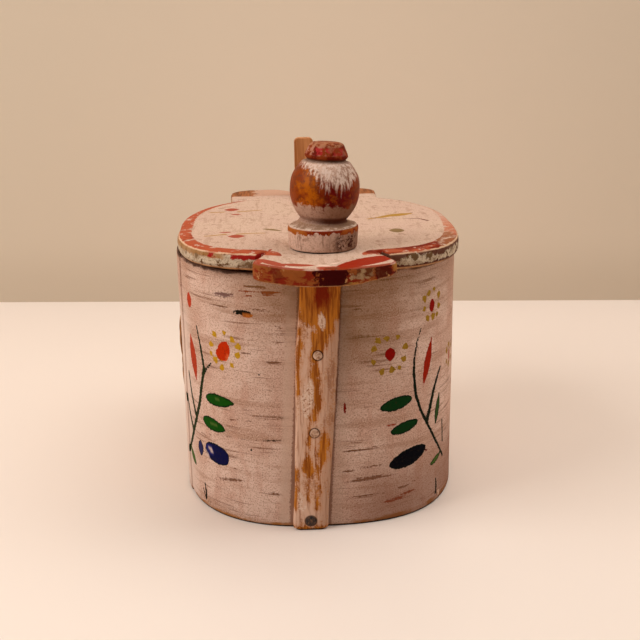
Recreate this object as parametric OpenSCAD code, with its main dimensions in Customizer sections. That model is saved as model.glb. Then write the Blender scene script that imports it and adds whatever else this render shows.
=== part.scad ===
// Tine: an oval box of bent wood, with a board lid, two end posts and a turned knob.
// Millimetres, +Z up. The origin is the middle of the face that the box stands on.
// -Y is the end with the knob and the short post, +Y the end with the tall post.

/* [Band] */
// Width of the band over its outside
band_w = 140; // [120:1:180]
// Length of the band over its outside
band_l = 154; // [140:1:200]
// Height of the band
band_h = 125; // [110:1:150]
// Thickness of the bent strip
band_wall = 3.6; // [2.8:0.1:5]
// How square the oval is, where 2 is an ellipse
band_square = 2.5; // [2.2:0.1:3]
// Length of the lapped joint along the side
lap_l = 52; // [40:1:60]
// Place of the lap's outer end, from the middle of the side
lap_start = -32; // [-36:1:-28]
// Step where the strip's thinned ends stop
lap_step = 0.6; // [0.4:0.1:1.2]

/* [Root lacing] */
// Number of stitches, one above the other
stitch_count = 2; // [2:1:5]
// Height from one hole to the next
stitch_pitch = 17.5; // [8:0.5:22]
// How far a stitch runs past its holes
stitch_over = 0.8; // [0.4:0.1:1.4]
// Side step of a stitch, which lays its end beside the next one
stitch_lean = 1.4; // [0:0.2:2]
// Thickness of the root
root_d = 3; // [2:0.1:3.4]
// How far the root stands out of the band
root_proud = 1.1; // [0.6:0.1:1.3]
// Diameter of the holes for the root
lacing_hole_d = 2.2; // [1.6:0.1:2.6]
// Height of the middle of the lacing
lacing_z = 71; // [60:1:80]
// Place of the lacing along the side
lacing_y = -17; // [-20:1:-14]

/* [Bottom] */
// Thickness of the bottom board
bottom_t = 8.5; // [7:0.5:12]
// Diameter of the small pegs round the bottom
bottom_peg_d = 2.8; // [2:0.1:3.2]
// Length of the small pegs
bottom_peg_l = 17; // [12:1:24]
// Height of the small pegs above the table
bottom_peg_z = 3.8; // [3:0.1:4.4]

/* [Posts] */
// Width of the posts at the height of the lid
post_w = 18; // [14:0.5:20]
// Width of the posts at the foot
post_foot_w = 16.4; // [13:0.2:18]
// Thickness of the short post at the top
near_post_t = 4.8; // [4:0.1:8]
// Thickness of the posts at the foot
post_foot_t = 3.3; // [2.6:0.1:4]
// Side shift of the short post's top
near_top_x = -1.3; // [-4:0.1:4]
// Side shift of the short post's foot
near_foot_x = -8; // [-10:0.5:4]
// Width of the chamfer along a post's outer edges
post_chamfer = 2; // [1:0.1:2.6]
// Height of the tall post above the lid
far_post_rise = 34; // [24:1:44]
// Width of the tall post above its shoulders
blade_w = 11; // [9:0.5:12]
// Thickness of the tall post at the lid
blade_t = 8; // [7:0.5:10]
// Side shift of the tall post
far_x = -2; // [-4:0.5:4]
// Radius of the corners at the tall post's top
blade_r = 2.6; // [1:0.1:4]
// Distance of the blade's root below the band's top edge
blade_drop = 5; // [3:0.5:8]
// Length of the tall post's curved shoulders
shoulder_l = 18; // [12:1:24]

/* [Pegs and nails] */
// Diameter of the pegs through the posts
peg_d = 4.4; // [3:0.1:5]
// How far the pegs stand out of the post and of the band's inside
peg_proud = 0.3; // [0.1:0.1:1]
// Distance of the upper peg below the band's top edge
peg_drop = 37; // [30:1:40]
// Distance between the two pegs of a post
peg_step = 38; // [30:1:40]
// Diameter of the nail heads at the posts' feet
nail_head_d = 4.6; // [4:0.1:6]
// Diameter of the nails' shanks
nail_d = 2; // [1.4:0.1:2.4]
// Length of the nails
nail_l = 20; // [16:1:26]
// Height of the nails above the table
nail_z = 5; // [4:0.1:5.4]

/* [Lid] */
// Thickness of the lid board
lid_t = 8.2; // [6:0.2:10]
// How far the lid stops short of the band's sides
lid_inset = 0.8; // [0:0.2:3]
// Side shift of the lid's oval
lid_x = 0.5; // [-1:0.1:1]
// How far the lid stands past the band at the knob's end
lid_over_near = 2.2; // [0:0.2:3]
// How far the lid stands past the band at the forked end
lid_over_far = 3; // [0:0.2:4]
// How square the lid's outline is at the knob's end
lid_square_near = 3.3; // [2.6:0.1:3.6]
// How square the lid's outline is at the forked end
lid_square_far = 2.3; // [2.2:0.1:2.8]
// Height of the rounding under the lid's rim
rim_round = 2.2; // [1:0.1:2.6]
// Reach of the tongue past the band at the knob's end
near_reach = 27; // [22:1:34]
// Width of the tongue over its ears at the knob's end
near_ears = 62; // [54:1:70]
// Width of the neck of that tongue
near_neck = 45; // [42:1:52]
// Radius of the rounded ears of that tongue
near_ear_r = 7; // [4:0.5:10]
// Radius of the flat arc along the end of that tongue
near_flat_r = 62; // [50:1:90]
// Depth of the saw nicks in from the band's end
near_nick = 10; // [5:0.2:12]
// How much the right ear of that tongue is thinned from below at its tip
ear_thin = 3; // [1:0.2:4]
// Reach of the forked tongue past the band
far_reach = 31; // [28:1:38]
// Width of the forked tongue over its ears
far_ears = 87; // [80:1:92]
// Side shift of the forked tongue
far_tongue_x = -2.4; // [-4:0.2:4]
// Radius of the rounded ears of the forked tongue
far_ear_r = 12; // [8:0.5:16]
// Radius of the flat arc along the end of the forked tongue
far_flat_r = 260; // [150:10:400]
// Width of the forked tongue where it joins the lid
far_neck = 58; // [50:1:66]
// How far the backs of its ears run in from the band's end
far_ear_in = 8.5; // [6:0.5:10]
// Radius of the rounded mouth of the fork
mouth_r = 18; // [10:0.5:20]
// Side gap between the fork and the tall post
fork_gap = 0.8; // [0.4:0.1:1.5]
// Depth of the fork's edge in the notch of the tall post
nose_bite = 2.8; // [2:0.1:3.2]
// Angle that the lid tilts open
lid_swing = 22; // [10:1:24]

/* [Knob] */
// Distance of the knob in from the band's end
knob_inset = 15.5; // [14:0.5:24]
// Side shift of the knob's foot
knob_x = 1; // [-3:0.1:3]
// Lean of the ball and cap to the side in degrees
knob_lean = 3.6; // [0:0.2:5]
// Diameter of the disc under the knob
disc_d = 32; // [26:0.5:34]
// Height of the disc
disc_h = 10.8; // [7:0.2:12]
// Diameter of the ball
ball_d = 31.6; // [26:0.2:34]
// Height of the ball from its neck to the groove under the cap
ball_h = 25.2; // [24:0.1:30]
// Diameter of the cap at its rim
cap_d = 19.2; // [15:0.2:20]
// Height of the cap
cap_h = 7.4; // [5:0.2:9]
// Height of the neck between the disc and the ball
neck_h = 3; // [1.4:0.2:4]
// Height of the groove between the ball and the cap
groove_h = 1.2; // [0.8:0.2:2]
// Diameter of the tenon through the lid
tenon_d = 13; // [10:0.5:15]
// How far the tenon shows under the lid
tenon_out = 4; // [2:0.5:6]
// Thickness of the wedge at its head
wedge_t = 2.4; // [1.6:0.2:3.2]

/* [Fits] */
// Side gap of pegs, tenon and bottom board in their seats
fit_gap = 0.05; // [0.02:0.01:0.1]
// Gap under the lid and in the notch of the tall post
lid_gap = 0.3; // [0.2:0.05:0.5]

/* [Hidden] */
$fn = 64;
oval_steps = 96;
lap_steps = 14;
ear_steps = 10;
shoulder_steps = 8;
corner_steps = 4;
ball_steps = 10;
// A cut runs this far past the face that it opens
past = 1;
// A post's blank starts this far inside the band before its back is cut to the band
post_root = 2;
// The rounding at a post's foot, and the depth of its chamfers as a share of their width
foot_round = 0.8;
chamfer_share = 0.6;
// The short post is narrower at its waist and wider at its belly, at these shares of its height
waist = 0.6;
waist_share = 0.4;
belly = 1.6;
belly_share = 0.6;
// How much the tall post thins over its rounded top
blade_thin = 1.5;
// Spare angle above the lid's edge in the notch, in degrees
notch_spare = 3;
nail_head_h = 1;
nail_crown = 0.6;
// The ends of the lacing's legs run this far into the strands
leg_root = 0.3;
// How far the lid's rounded upper arris runs in, and how far it runs down the side
lid_arris = 1.6;
lid_arris_h = 2.2;
// Opening of a saw nick at the end of its run
nick_open = 13;
nick_run = 20;
// A tongue's blank runs this far into the lid
tongue_root = 20;
ear_taper = 1;
neck_in = 3;
// The right ear of the near tongue gets thinner from this share of the tongue's half width
ear_thin_from = 0.35;

rx = band_w / 2;
ry = band_l / 2;
lid_z = band_h + lid_gap;
lid_top = lid_z + lid_t;
lid_mid = lid_z + lid_t / 2;
lid_rx = rx - lid_inset;
lid_near = ry + lid_over_near;
lid_far = ry + lid_over_far;
nose_y = ry + nose_bite;
far_post_h = lid_top + far_post_rise;
blade_z = band_h - blade_drop;
shoulder_z = blade_z - shoulder_l;
tenon_l = lid_t + tenon_out;
peg_heights = [band_h - peg_drop, band_h - peg_drop - peg_step];
wood_pale = "#cdb9aa";
wood_ochre = "#b98a55";
wood_brown = "#8f5a34";
paint_lid = "#d9bfae";
iron = "#3b2f2a";

function side(v) = v < 0 ? -1 : 1;
function power(v, p) = side(v) * pow(abs(v), p);
function oval_point(ax, ay, n, t) = [ax * power(cos(t), 2 / n), ay * power(sin(t), 2 / n)];
function arc(centre, r, from, to, steps) =
    [for (i = [0:steps]) let (a = from + (to - from) * i / steps) centre + r * [cos(a), sin(a)]];

// The angle at which the -X side of an oval passes a place along Y
function side_angle(ay, y) = 180 - side(y) * asin(pow(abs(y) / ay, band_square / 2));

// An oval whose -X side is thickened along the lap, by step_a at the lap's start and step_b at its end
function lapped_oval(ax, ay, step_a, step_b) = let (
        t_a = side_angle(ay, lap_start),
        t_b = side_angle(ay, lap_start + lap_l),
        first = step_b == 0 ? 1 : 0,
        last = step_a == 0 ? oval_steps - 1 : oval_steps
    ) concat(
        [for (i = [0:lap_steps]) let (u = i / lap_steps)
            oval_point(ax, ay, band_square, t_a + (t_b - t_a) * u) - [step_a + (step_b - step_a) * u, 0]],
        [for (i = [first:last]) oval_point(ax, ay, band_square, t_b - (360 - t_a + t_b) * i / oval_steps)]
    );

// The band's outside, to which the posts' backs are cut too
module band_outside(h) {
    linear_extrude(h) polygon(lapped_oval(rx, ry, lap_step, 0));
}

module band_inside(h, gap = 0) {
    linear_extrude(h) polygon(lapped_oval(rx - band_wall - gap, ry - band_wall - gap, 0, -lap_step));
}

// A solid through rings of points that all run counterclockwise seen from above
module loft(rings) {
    m = len(rings[0]);
    top = len(rings) - 1;
    polyhedron(
        points = [for (ring = rings) for (p = ring) p],
        faces = concat(
            [[for (i = [0:m - 1]) i]],
            [for (j = [0:top - 1]) for (i = [0:m - 1]) let (k = (i + 1) % m)
                [j * m + i, (j + 1) * m + i, (j + 1) * m + k, j * m + k]],
            [[for (i = [m - 1:-1:0]) top * m + i]]
        )
    );
}

// Small pegs round the bottom, each square to the band's outside
peg_angles = [0, 38.6, 141.4, 180, 218.6, 321.4];
module at_bottom_pegs() {
    for (t = peg_angles) {
        p = oval_point(rx, ry, band_square, t);
        slope = [power(p.x / rx, band_square - 1) / rx, power(p.y / ry, band_square - 1) / ry];
        translate([p.x, p.y, bottom_peg_z]) rotate([0, 0, atan2(slope.y, slope.x)]) rotate([0, -90, 0])
            translate([0, 0, -lap_skin(p) - peg_proud]) children();
    }
}

module bottom_peg_shape(gap = 0) {
    cylinder(d = bottom_peg_d + 2 * gap, h = bottom_peg_l + gap);
}

// The short post leans: its middle line shifts to the side with the height
function near_x(z) = near_foot_x + (near_top_x - near_foot_x) * z / band_h;
// Both posts are thinner at the foot
function near_t(z) = post_foot_t + (near_post_t - post_foot_t) * z / band_h;
function far_t(z) = post_foot_t + (blade_t - post_foot_t) * min(1, z / shoulder_z);
// The tall post narrows in a curve from its shoulders to the blade, below the lid
function far_w(u) = blade_w + (post_w - blade_w) * (1 + cos(180 * u)) / 2;

// A peg through a post and the band, from outside to inside, for the end at -Y
module post_peg(x, z, t, d, gap = 0) {
    translate([x, -ry - t - peg_proud, z]) rotate([-90, 0, 0])
        cylinder(d = d + 2 * gap, h = t + band_wall + 2 * peg_proud);
}

module near_peg_shapes(gap = 0) {
    for (z = peg_heights) post_peg(near_x(z), z, near_t(z), peg_d, gap);
}

module far_peg_shapes(gap = 0) {
    mirror([0, 1, 0]) for (z = peg_heights) post_peg(far_x, z, far_t(z), peg_d, gap);
}

// A forged nail: a low round head on a straight shank, for the end at -Y
module nail_shape(x, gap = 0) {
    translate([x, -ry - post_foot_t - nail_head_h, nail_z]) rotate([-90, 0, 0]) {
        cylinder(d1 = nail_head_d * nail_crown + 2 * gap, d2 = nail_head_d + 2 * gap, h = nail_head_h);
        cylinder(d = nail_d + 2 * gap, h = nail_l + nail_head_h);
    }
}

// Where the lapped side's outer and inner faces lie, at a place along Y
function lap_share(ay, y) = (side_angle(ay, lap_start) - side_angle(ay, y))
    / (side_angle(ay, lap_start) - side_angle(ay, lap_start + lap_l));
function face_out(y) = oval_point(rx, ry, band_square, side_angle(ry, y)).x
    - lap_step * (1 - lap_share(ry, y));
function face_in(y) = let (ay = ry - band_wall)
    oval_point(rx - band_wall, ay, band_square, side_angle(ay, y)).x + lap_step * lap_share(ay, y);
// How far the lap thickens the outside at a point of the oval
function lap_skin(p) = p.x < 0 && p.y > lap_start && p.y < lap_start + lap_l
    ? lap_step * (1 - lap_share(ry, p.y)) : 0;

// The root runs up the side in a back stitch: strands outside and inside, and a leg through each hole
function hole_z(k) = lacing_z + (k - stitch_count / 2) * stitch_pitch;

module lacing_legs(d, extra) {
    for (k = [0:stitch_count]) translate([face_out(lacing_y) - extra, lacing_y, hole_z(k)])
        rotate([0, 90, 0]) cylinder(d = d, h = face_in(lacing_y) - face_out(lacing_y) + 2 * extra);
}

module strand(x, k) {
    rise = stitch_pitch + 2 * stitch_over;
    l = norm([rise, stitch_lean]);
    translate([x, lacing_y - stitch_lean / 2, hole_z(k) - stitch_over])
        rotate([-atan2(stitch_lean, rise), 0, 0]) {
            cylinder(d = root_d, h = l);
            for (z = [0, l]) translate([0, 0, z]) sphere(d = root_d);
        }
}

lace_out = face_out(lacing_y) - root_proud + root_d / 2;
lace_in = face_in(lacing_y) + root_proud - root_d / 2;

module band() {
    color(wood_pale) difference() {
        band_outside(band_h);
        translate([0, 0, -past]) band_inside(band_h + 2 * past);
        at_bottom_pegs() translate([0, 0, -past]) bottom_peg_shape(fit_gap);
        lacing_legs(lacing_hole_d + 2 * fit_gap, past);
        near_peg_shapes(fit_gap);
        far_peg_shapes(fit_gap);
        nail_shape(near_x(nail_z), fit_gap);
        mirror([0, 1, 0]) nail_shape(far_x, fit_gap);
    }
}

module root_lacing() {
    color(wood_brown) {
        difference() {
            for (i = [0:stitch_count - 1]) strand(lace_out, i);
            translate([0, 0, -past]) band_outside(band_h + 2 * past);
        }
        intersection() {
            for (i = [0:stitch_count - 1]) strand(lace_in, i);
            translate([0, 0, -past]) band_inside(band_h + 2 * past);
        }
        lacing_legs(lacing_hole_d, leg_root);
    }
}

module bottom_board() {
    color(wood_ochre) difference() {
        band_inside(bottom_t, fit_gap);
        at_bottom_pegs() bottom_peg_shape(fit_gap);
        nail_shape(near_x(nail_z), fit_gap);
        mirror([0, 1, 0]) nail_shape(far_x, fit_gap);
    }
}

module bottom_pegs() {
    color(wood_brown) at_bottom_pegs() bottom_peg_shape();
}

// A section of a post: w wide and t thick, with chamfered outer edges, for the end at -Y
function post_section(x, w, t, z) = [
    [x - w / 2, -ry + post_root, z],
    [x - w / 2, -ry - t + post_chamfer * chamfer_share, z],
    [x - w / 2 + post_chamfer, -ry - t, z],
    [x + w / 2 - post_chamfer, -ry - t, z],
    [x + w / 2, -ry - t + post_chamfer * chamfer_share, z],
    [x + w / 2, -ry + post_root, z]
];

module near_post() {
    waist_z = band_h * waist_share;
    belly_z = band_h * belly_share;
    color(wood_ochre) difference() {
        loft([
            post_section(near_x(0), post_foot_w - foot_round, post_foot_t - foot_round / 2, 0),
            post_section(near_x(foot_round), post_foot_w, near_t(foot_round), foot_round),
            post_section(near_x(waist_z), post_w - waist, near_t(waist_z), waist_z),
            post_section(near_x(belly_z), post_w + belly, near_t(belly_z), belly_z),
            post_section(near_x(band_h), post_w, near_post_t, band_h)
        ]);
        translate([0, 0, -past]) band_outside(band_h + 2 * past);
        near_peg_shapes(fit_gap);
        nail_shape(near_x(nail_z), fit_gap);
    }
}

module near_post_pegs() {
    color(wood_pale) near_peg_shapes();
}

module near_post_nail() {
    color(iron) nail_shape(near_x(nail_z));
}

module far_post() {
    tip_y = nose_y + lid_gap * sqrt(2);
    mouth = tip_y - ry + past;
    color(wood_brown) difference() {
        mirror([0, 1, 0]) loft(concat(
            [post_section(far_x, post_foot_w - foot_round, post_foot_t - foot_round / 2, 0),
             post_section(far_x, post_foot_w, far_t(foot_round), foot_round)],
            [for (i = [0:shoulder_steps]) let (u = i / shoulder_steps)
                post_section(far_x, far_w(u), blade_t, shoulder_z + (blade_z - shoulder_z) * u)],
            [for (i = [0:corner_steps]) let (a = 90 * i / corner_steps)
                post_section(far_x, blade_w - 2 * blade_r * (1 - cos(a)),
                    blade_t - blade_thin * (1 - cos(a)), far_post_h - blade_r * (1 - sin(a)))]
        ));
        translate([0, 0, -past]) band_outside(far_post_h + 2 * past);
        // The notch that holds the lid's edge: 45 degrees below, steep above so that the lid can tilt
        translate([far_x - blade_w, 0, 0]) rotate([90, 0, 90]) linear_extrude(2 * blade_w) polygon([
            [tip_y, lid_mid],
            [tip_y - mouth, lid_mid + mouth * tan(45 + lid_swing + notch_spare)],
            [tip_y - mouth, lid_mid - mouth]
        ]);
        far_peg_shapes(fit_gap);
        mirror([0, 1, 0]) nail_shape(far_x, fit_gap);
    }
}

module far_post_pegs() {
    color(wood_pale) far_peg_shapes();
}

module far_post_nail() {
    color(iron) mirror([0, 1, 0]) nail_shape(far_x);
}

function lid_point(t, inset) = sin(t) < 0
    ? oval_point(lid_rx - inset, lid_near - inset, lid_square_near, t)
    : oval_point(lid_rx - inset, lid_far - inset, lid_square_far, t);

function lid_ring(inset, z) = [for (i = [0:oval_steps - 1])
    concat(lid_point(360 * i / oval_steps, inset) + [lid_x, 0], [z])];

// The round end of a tongue that points to -Y: two ears joined by a flat arc
function tongue_end(w, reach, flat_r, ear_r) = let (
        c = [0, flat_r - reach],
        ear_x = w / 2 - ear_r,
        ear_y = c.y - sqrt(pow(flat_r - ear_r, 2) - pow(ear_x, 2)),
        lean = atan2(ear_x, c.y - ear_y)
    ) concat(
        arc([-ear_x, ear_y], ear_r, 180, 270 - lean, ear_steps),
        arc(c, flat_r, 270 - lean, 270 + lean, ear_steps),
        arc([ear_x, ear_y], ear_r, 270 + lean, 360, ear_steps)
    );

near_nick_y = -ry + near_nick;

module near_tongue() {
    thin_x = near_ears / 2 * ear_thin_from;
    difference() {
        linear_extrude(lid_t) polygon(concat(
            tongue_end(near_ears, ry + near_reach, near_flat_r, near_ear_r),
            [[near_neck / 2, near_nick_y], [near_neck / 2, near_nick_y + tongue_root],
             [-near_neck / 2, near_nick_y + tongue_root], [-near_neck / 2, near_nick_y]]
        ));
        // The right ear is whittled thinner from below, clear of the band and the short post
        translate([0, -ry - near_post_t, 0]) rotate([90, 0, 0]) linear_extrude(near_reach) polygon([
            [thin_x, 0], [near_ears / 2 + past, -past], [near_ears / 2 + past, ear_thin]
        ]);
    }
}

// The saw nick on each side of the neck
module near_nicks() {
    for (flip = [0, 1]) mirror([flip, 0, 0]) linear_extrude(3 * lid_t, center = true) polygon([
        [near_neck / 2, near_nick_y],
        [near_neck / 2, near_nick_y - nick_run],
        [near_neck / 2 + nick_open, near_nick_y - nick_run]
    ]);
}

// The forked tongue, drawn pointing to -Y and turned round
module far_tongue() {
    ear_x = far_ears / 2 - ear_taper;
    ear_y = -ry + far_ear_in;
    neck_x = far_neck / 2;
    neck_y = -ry + neck_in;
    translate([far_tongue_x, 0, 0]) mirror([0, 1, 0]) linear_extrude(lid_t) polygon(concat(
        tongue_end(far_ears, ry + far_reach, far_flat_r, far_ear_r),
        [[ear_x, ear_y], [neck_x, neck_y], [neck_x, neck_y + tongue_root],
         [-neck_x, neck_y + tongue_root], [-neck_x, neck_y], [-ear_x, ear_y]]
    ));
}

// The fork: a slot for the tall post, with a rounded mouth
module fork() {
    slot_w = blade_w + 2 * fork_gap;
    mouth_y = ry + far_reach - mouth_r;
    translate([far_x, 0, -past]) linear_extrude(lid_t + 2 * past) {
        translate([-slot_w / 2, nose_y]) square([slot_w, far_reach]);
        difference() {
            translate([-slot_w / 2 - mouth_r, mouth_y]) square([slot_w + 2 * mouth_r, 2 * mouth_r]);
            for (s = [-1, 1]) translate([s * (slot_w / 2 + mouth_r), mouth_y]) circle(r = mouth_r);
        }
    }
    // Two bevels bring the slot's end to an edge at half the lid's thickness
    translate([far_x - slot_w / 2, 0, 0]) rotate([90, 0, 90]) linear_extrude(slot_w) {
        polygon([[nose_y, lid_t / 2], [nose_y + past, lid_t / 2], [nose_y + past, lid_t + past],
            [nose_y - lid_t / 2 - past, lid_t + past]]);
        polygon([[nose_y, lid_t / 2], [nose_y + past, lid_t / 2], [nose_y + past, -past],
            [nose_y - lid_t / 2 - past, -past]]);
    }
}

// Foot of the knob on the lid
module at_knob() {
    translate([knob_x, -ry + knob_inset, lid_top + fit_gap]) children();
}

module lid_board() {
    color(paint_lid) difference() {
        translate([0, 0, lid_z]) difference() {
            union() {
                difference() {
                    loft([lid_ring(rim_round, 0), lid_ring(rim_round / 3, rim_round / 3),
                        lid_ring(0, rim_round), lid_ring(0, lid_t - lid_arris_h),
                        lid_ring(lid_arris / 3, lid_t - lid_arris / 2), lid_ring(lid_arris, lid_t)]);
                    near_nicks();
                }
                near_tongue();
                far_tongue();
            }
            fork();
        }
        at_knob() translate([0, 0, -tenon_l - past])
            cylinder(d = tenon_d + 2 * fit_gap, h = tenon_l + 2 * past);
    }
}

// Outlines of the tenon, disc and cap, as [in from the full radius, up from the foot]
tenon_outline = [[0.6, -tenon_l], [0, 0.6 - tenon_l], [0, 0]];
disc_outline = [[1, 0], [0.6, 0.6], [0, disc_h - 1.4], [1, disc_h - 0.2], [3, disc_h + 0.3]];
cap_outline = [[1.6, -0.8], [1, 0], [0, 1], [0, 2], [2, cap_h - 1.2], [3.4, cap_h - 0.2]];
// The ball's radius at the neck and at the groove as shares of its largest, and the height of its belly
neck_share = 0.67;
groove_share = 0.68;
ball_belly = 0.535;
// The disc rises to the neck in a cone that is this much wider than the neck at its top
neck_flare = 0.8;

function turned(r, outline, z = 0) = [for (p = outline) [r - p[0], z + p[1]]];

module knob() {
    ball_r = ball_d / 2;
    neck_z = disc_h + neck_h;
    belly_z = neck_z + ball_h * ball_belly;
    // The ball is two half ellipses that meet at its widest place
    low_h = (belly_z - neck_z) / sqrt(1 - pow(neck_share, 2));
    high_h = (neck_z + ball_h - belly_z) / sqrt(1 - pow(groove_share, 2));
    cap_z = neck_z + ball_h + groove_h;
    color(wood_brown) at_knob() difference() {
        rotate_extrude() polygon(concat(
            [[0, -tenon_l]],
            turned(tenon_d / 2, tenon_outline),
            turned(disc_d / 2, disc_outline),
            [[ball_r * neck_share + neck_flare, disc_h + neck_h / 2], [0, disc_h + neck_h / 2]]
        ));
        wedge_shape(fit_gap);
    }
    // The ball and cap lean from the disc's top
    color(wood_brown) at_knob() translate([0, 0, disc_h]) rotate([0, knob_lean, 0])
        translate([0, 0, -disc_h]) rotate_extrude() polygon(concat(
            [[0, disc_h - neck_h / 2], [ball_r * neck_share, disc_h - neck_h / 2]],
            [for (i = [0:ball_steps]) let (a = -acos(neck_share) * (1 - i / ball_steps))
                [ball_r * cos(a), belly_z + low_h * sin(a)]],
            [for (i = [1:ball_steps]) let (a = acos(groove_share) * i / ball_steps)
                [ball_r * cos(a), belly_z + high_h * sin(a)]],
            turned(cap_d / 2, cap_outline, cap_z),
            [[0, cap_z + cap_h]]
        ));
}

// The wedge that spreads the tenon from below
wedge_tip_t = 0.6;
wedge_l = tenon_l * 0.6;
wedge_out = 0.5;
module wedge_shape(gap = 0) {
    head = wedge_t / 2 + gap;
    tip = wedge_tip_t / 2 + gap;
    rotate([90, 0, 0]) translate([0, 0, -tenon_d / 2 - past]) linear_extrude(tenon_d + 2 * past) polygon([
        [-head, -tenon_l - past], [head, -tenon_l - past],
        [tip, wedge_l - tenon_l + gap], [-tip, wedge_l - tenon_l + gap]
    ]);
}

module knob_wedge() {
    color(wood_ochre) at_knob() intersection() {
        wedge_shape();
        translate([0, 0, -tenon_l - wedge_out]) cylinder(d = tenon_d, h = tenon_l);
    }
}

band();
root_lacing();
bottom_board();
bottom_pegs();
near_post();
near_post_pegs();
near_post_nail();
far_post();
far_post_pegs();
far_post_nail();
lid_board();
knob();
knob_wedge();
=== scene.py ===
# %% [markdown]
# # Dressing a painted tine box
# A tine is an oval box of bent wood. Its lid is held by two posts that stand outside the band.
# The CAD model gives every piece its place and size. This lesson makes the pieces that show look
# hand made: softened edges, a bent strip that is a little uneven, milk paint that has worn, and
# the flowers that were painted on it.

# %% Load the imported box
import math

import bmesh
import bpy
import numpy as np
from mathutils import Matrix, Vector, noise


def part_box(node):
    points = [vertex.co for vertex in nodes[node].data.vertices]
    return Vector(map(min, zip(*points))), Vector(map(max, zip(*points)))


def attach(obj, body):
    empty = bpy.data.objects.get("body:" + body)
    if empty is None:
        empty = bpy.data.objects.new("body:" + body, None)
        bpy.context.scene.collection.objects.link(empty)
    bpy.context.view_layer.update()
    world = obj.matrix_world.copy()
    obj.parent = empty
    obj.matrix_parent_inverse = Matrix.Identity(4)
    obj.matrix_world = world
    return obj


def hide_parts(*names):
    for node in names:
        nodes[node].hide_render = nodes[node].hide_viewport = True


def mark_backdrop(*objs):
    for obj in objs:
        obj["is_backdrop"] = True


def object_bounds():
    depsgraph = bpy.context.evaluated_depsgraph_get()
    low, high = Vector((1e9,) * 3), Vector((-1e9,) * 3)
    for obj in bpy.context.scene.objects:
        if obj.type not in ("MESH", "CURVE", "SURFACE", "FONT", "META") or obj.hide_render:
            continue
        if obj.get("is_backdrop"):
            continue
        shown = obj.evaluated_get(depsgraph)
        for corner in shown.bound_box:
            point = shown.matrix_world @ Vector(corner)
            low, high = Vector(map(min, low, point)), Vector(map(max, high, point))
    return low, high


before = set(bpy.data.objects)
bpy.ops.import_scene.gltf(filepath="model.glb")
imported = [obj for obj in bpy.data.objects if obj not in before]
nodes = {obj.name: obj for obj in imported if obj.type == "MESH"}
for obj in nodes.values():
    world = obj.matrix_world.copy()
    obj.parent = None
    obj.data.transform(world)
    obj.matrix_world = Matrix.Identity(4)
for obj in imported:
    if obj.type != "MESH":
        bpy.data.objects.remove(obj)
cad_box = [list(corner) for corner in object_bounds()]
mm = 0.001
for corner in cad_box:
    print("CAD box corner, mm:", [round(c / mm, 1) for c in corner])

# %% [markdown]
# ## The camera
# A camera turns a direction into a place in the picture, so it comes first. The photograph was
# taken from a little above the lid, about half a metre away, nearly in line with the short post.
# The camera is turned by three plain angles: the way it faces, how far it looks down, and how
# far it is tipped to the side.

# %% Set the camera
camera_place = Vector((-23.2, -508.0, 232.1)) * mm
camera_yaw = 0.0496
camera_down = 0.2899
camera_tip = -0.0155

ahead = Vector((math.sin(camera_yaw) * math.cos(camera_down),
                math.cos(camera_yaw) * math.cos(camera_down), -math.sin(camera_down)))
level = Vector((math.cos(camera_yaw), -math.sin(camera_yaw), 0))
across = level * math.cos(camera_tip) + level.cross(ahead) * math.sin(camera_tip)
upward = across.cross(ahead)

bpy.ops.object.camera_add(location=camera_place)
camera = bpy.context.object
camera.rotation_euler = Matrix((across, upward, -ahead)).transposed().to_euler()
camera.data.lens = 56.25
camera.data.sensor_width = 36
bpy.context.scene.camera = camera
bpy.context.scene.view_settings.view_transform = "Standard"
print("camera to lid, mm:", round((camera_place - Vector((0, 0, 0.13))).length / mm))

# %% [markdown]
# ## Tools for the finishes
# A finish is a chain of small nodes. These helpers add one node each and hand back its output,
# so that a finish reads like a recipe: a ground colour, then layers over it, each let through by
# a mask.

# %% Mix and mask
def colour(red, green, blue):
    """A colour as read from a screen, 0 to 255, as the linear colour that a shader takes."""
    shares = [c / 255 for c in (red, green, blue)]
    return tuple(s / 12.92 if s <= 0.04 else ((s + 0.055) / 1.055) ** 2.4 for s in shares) + (1.0,)


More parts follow.
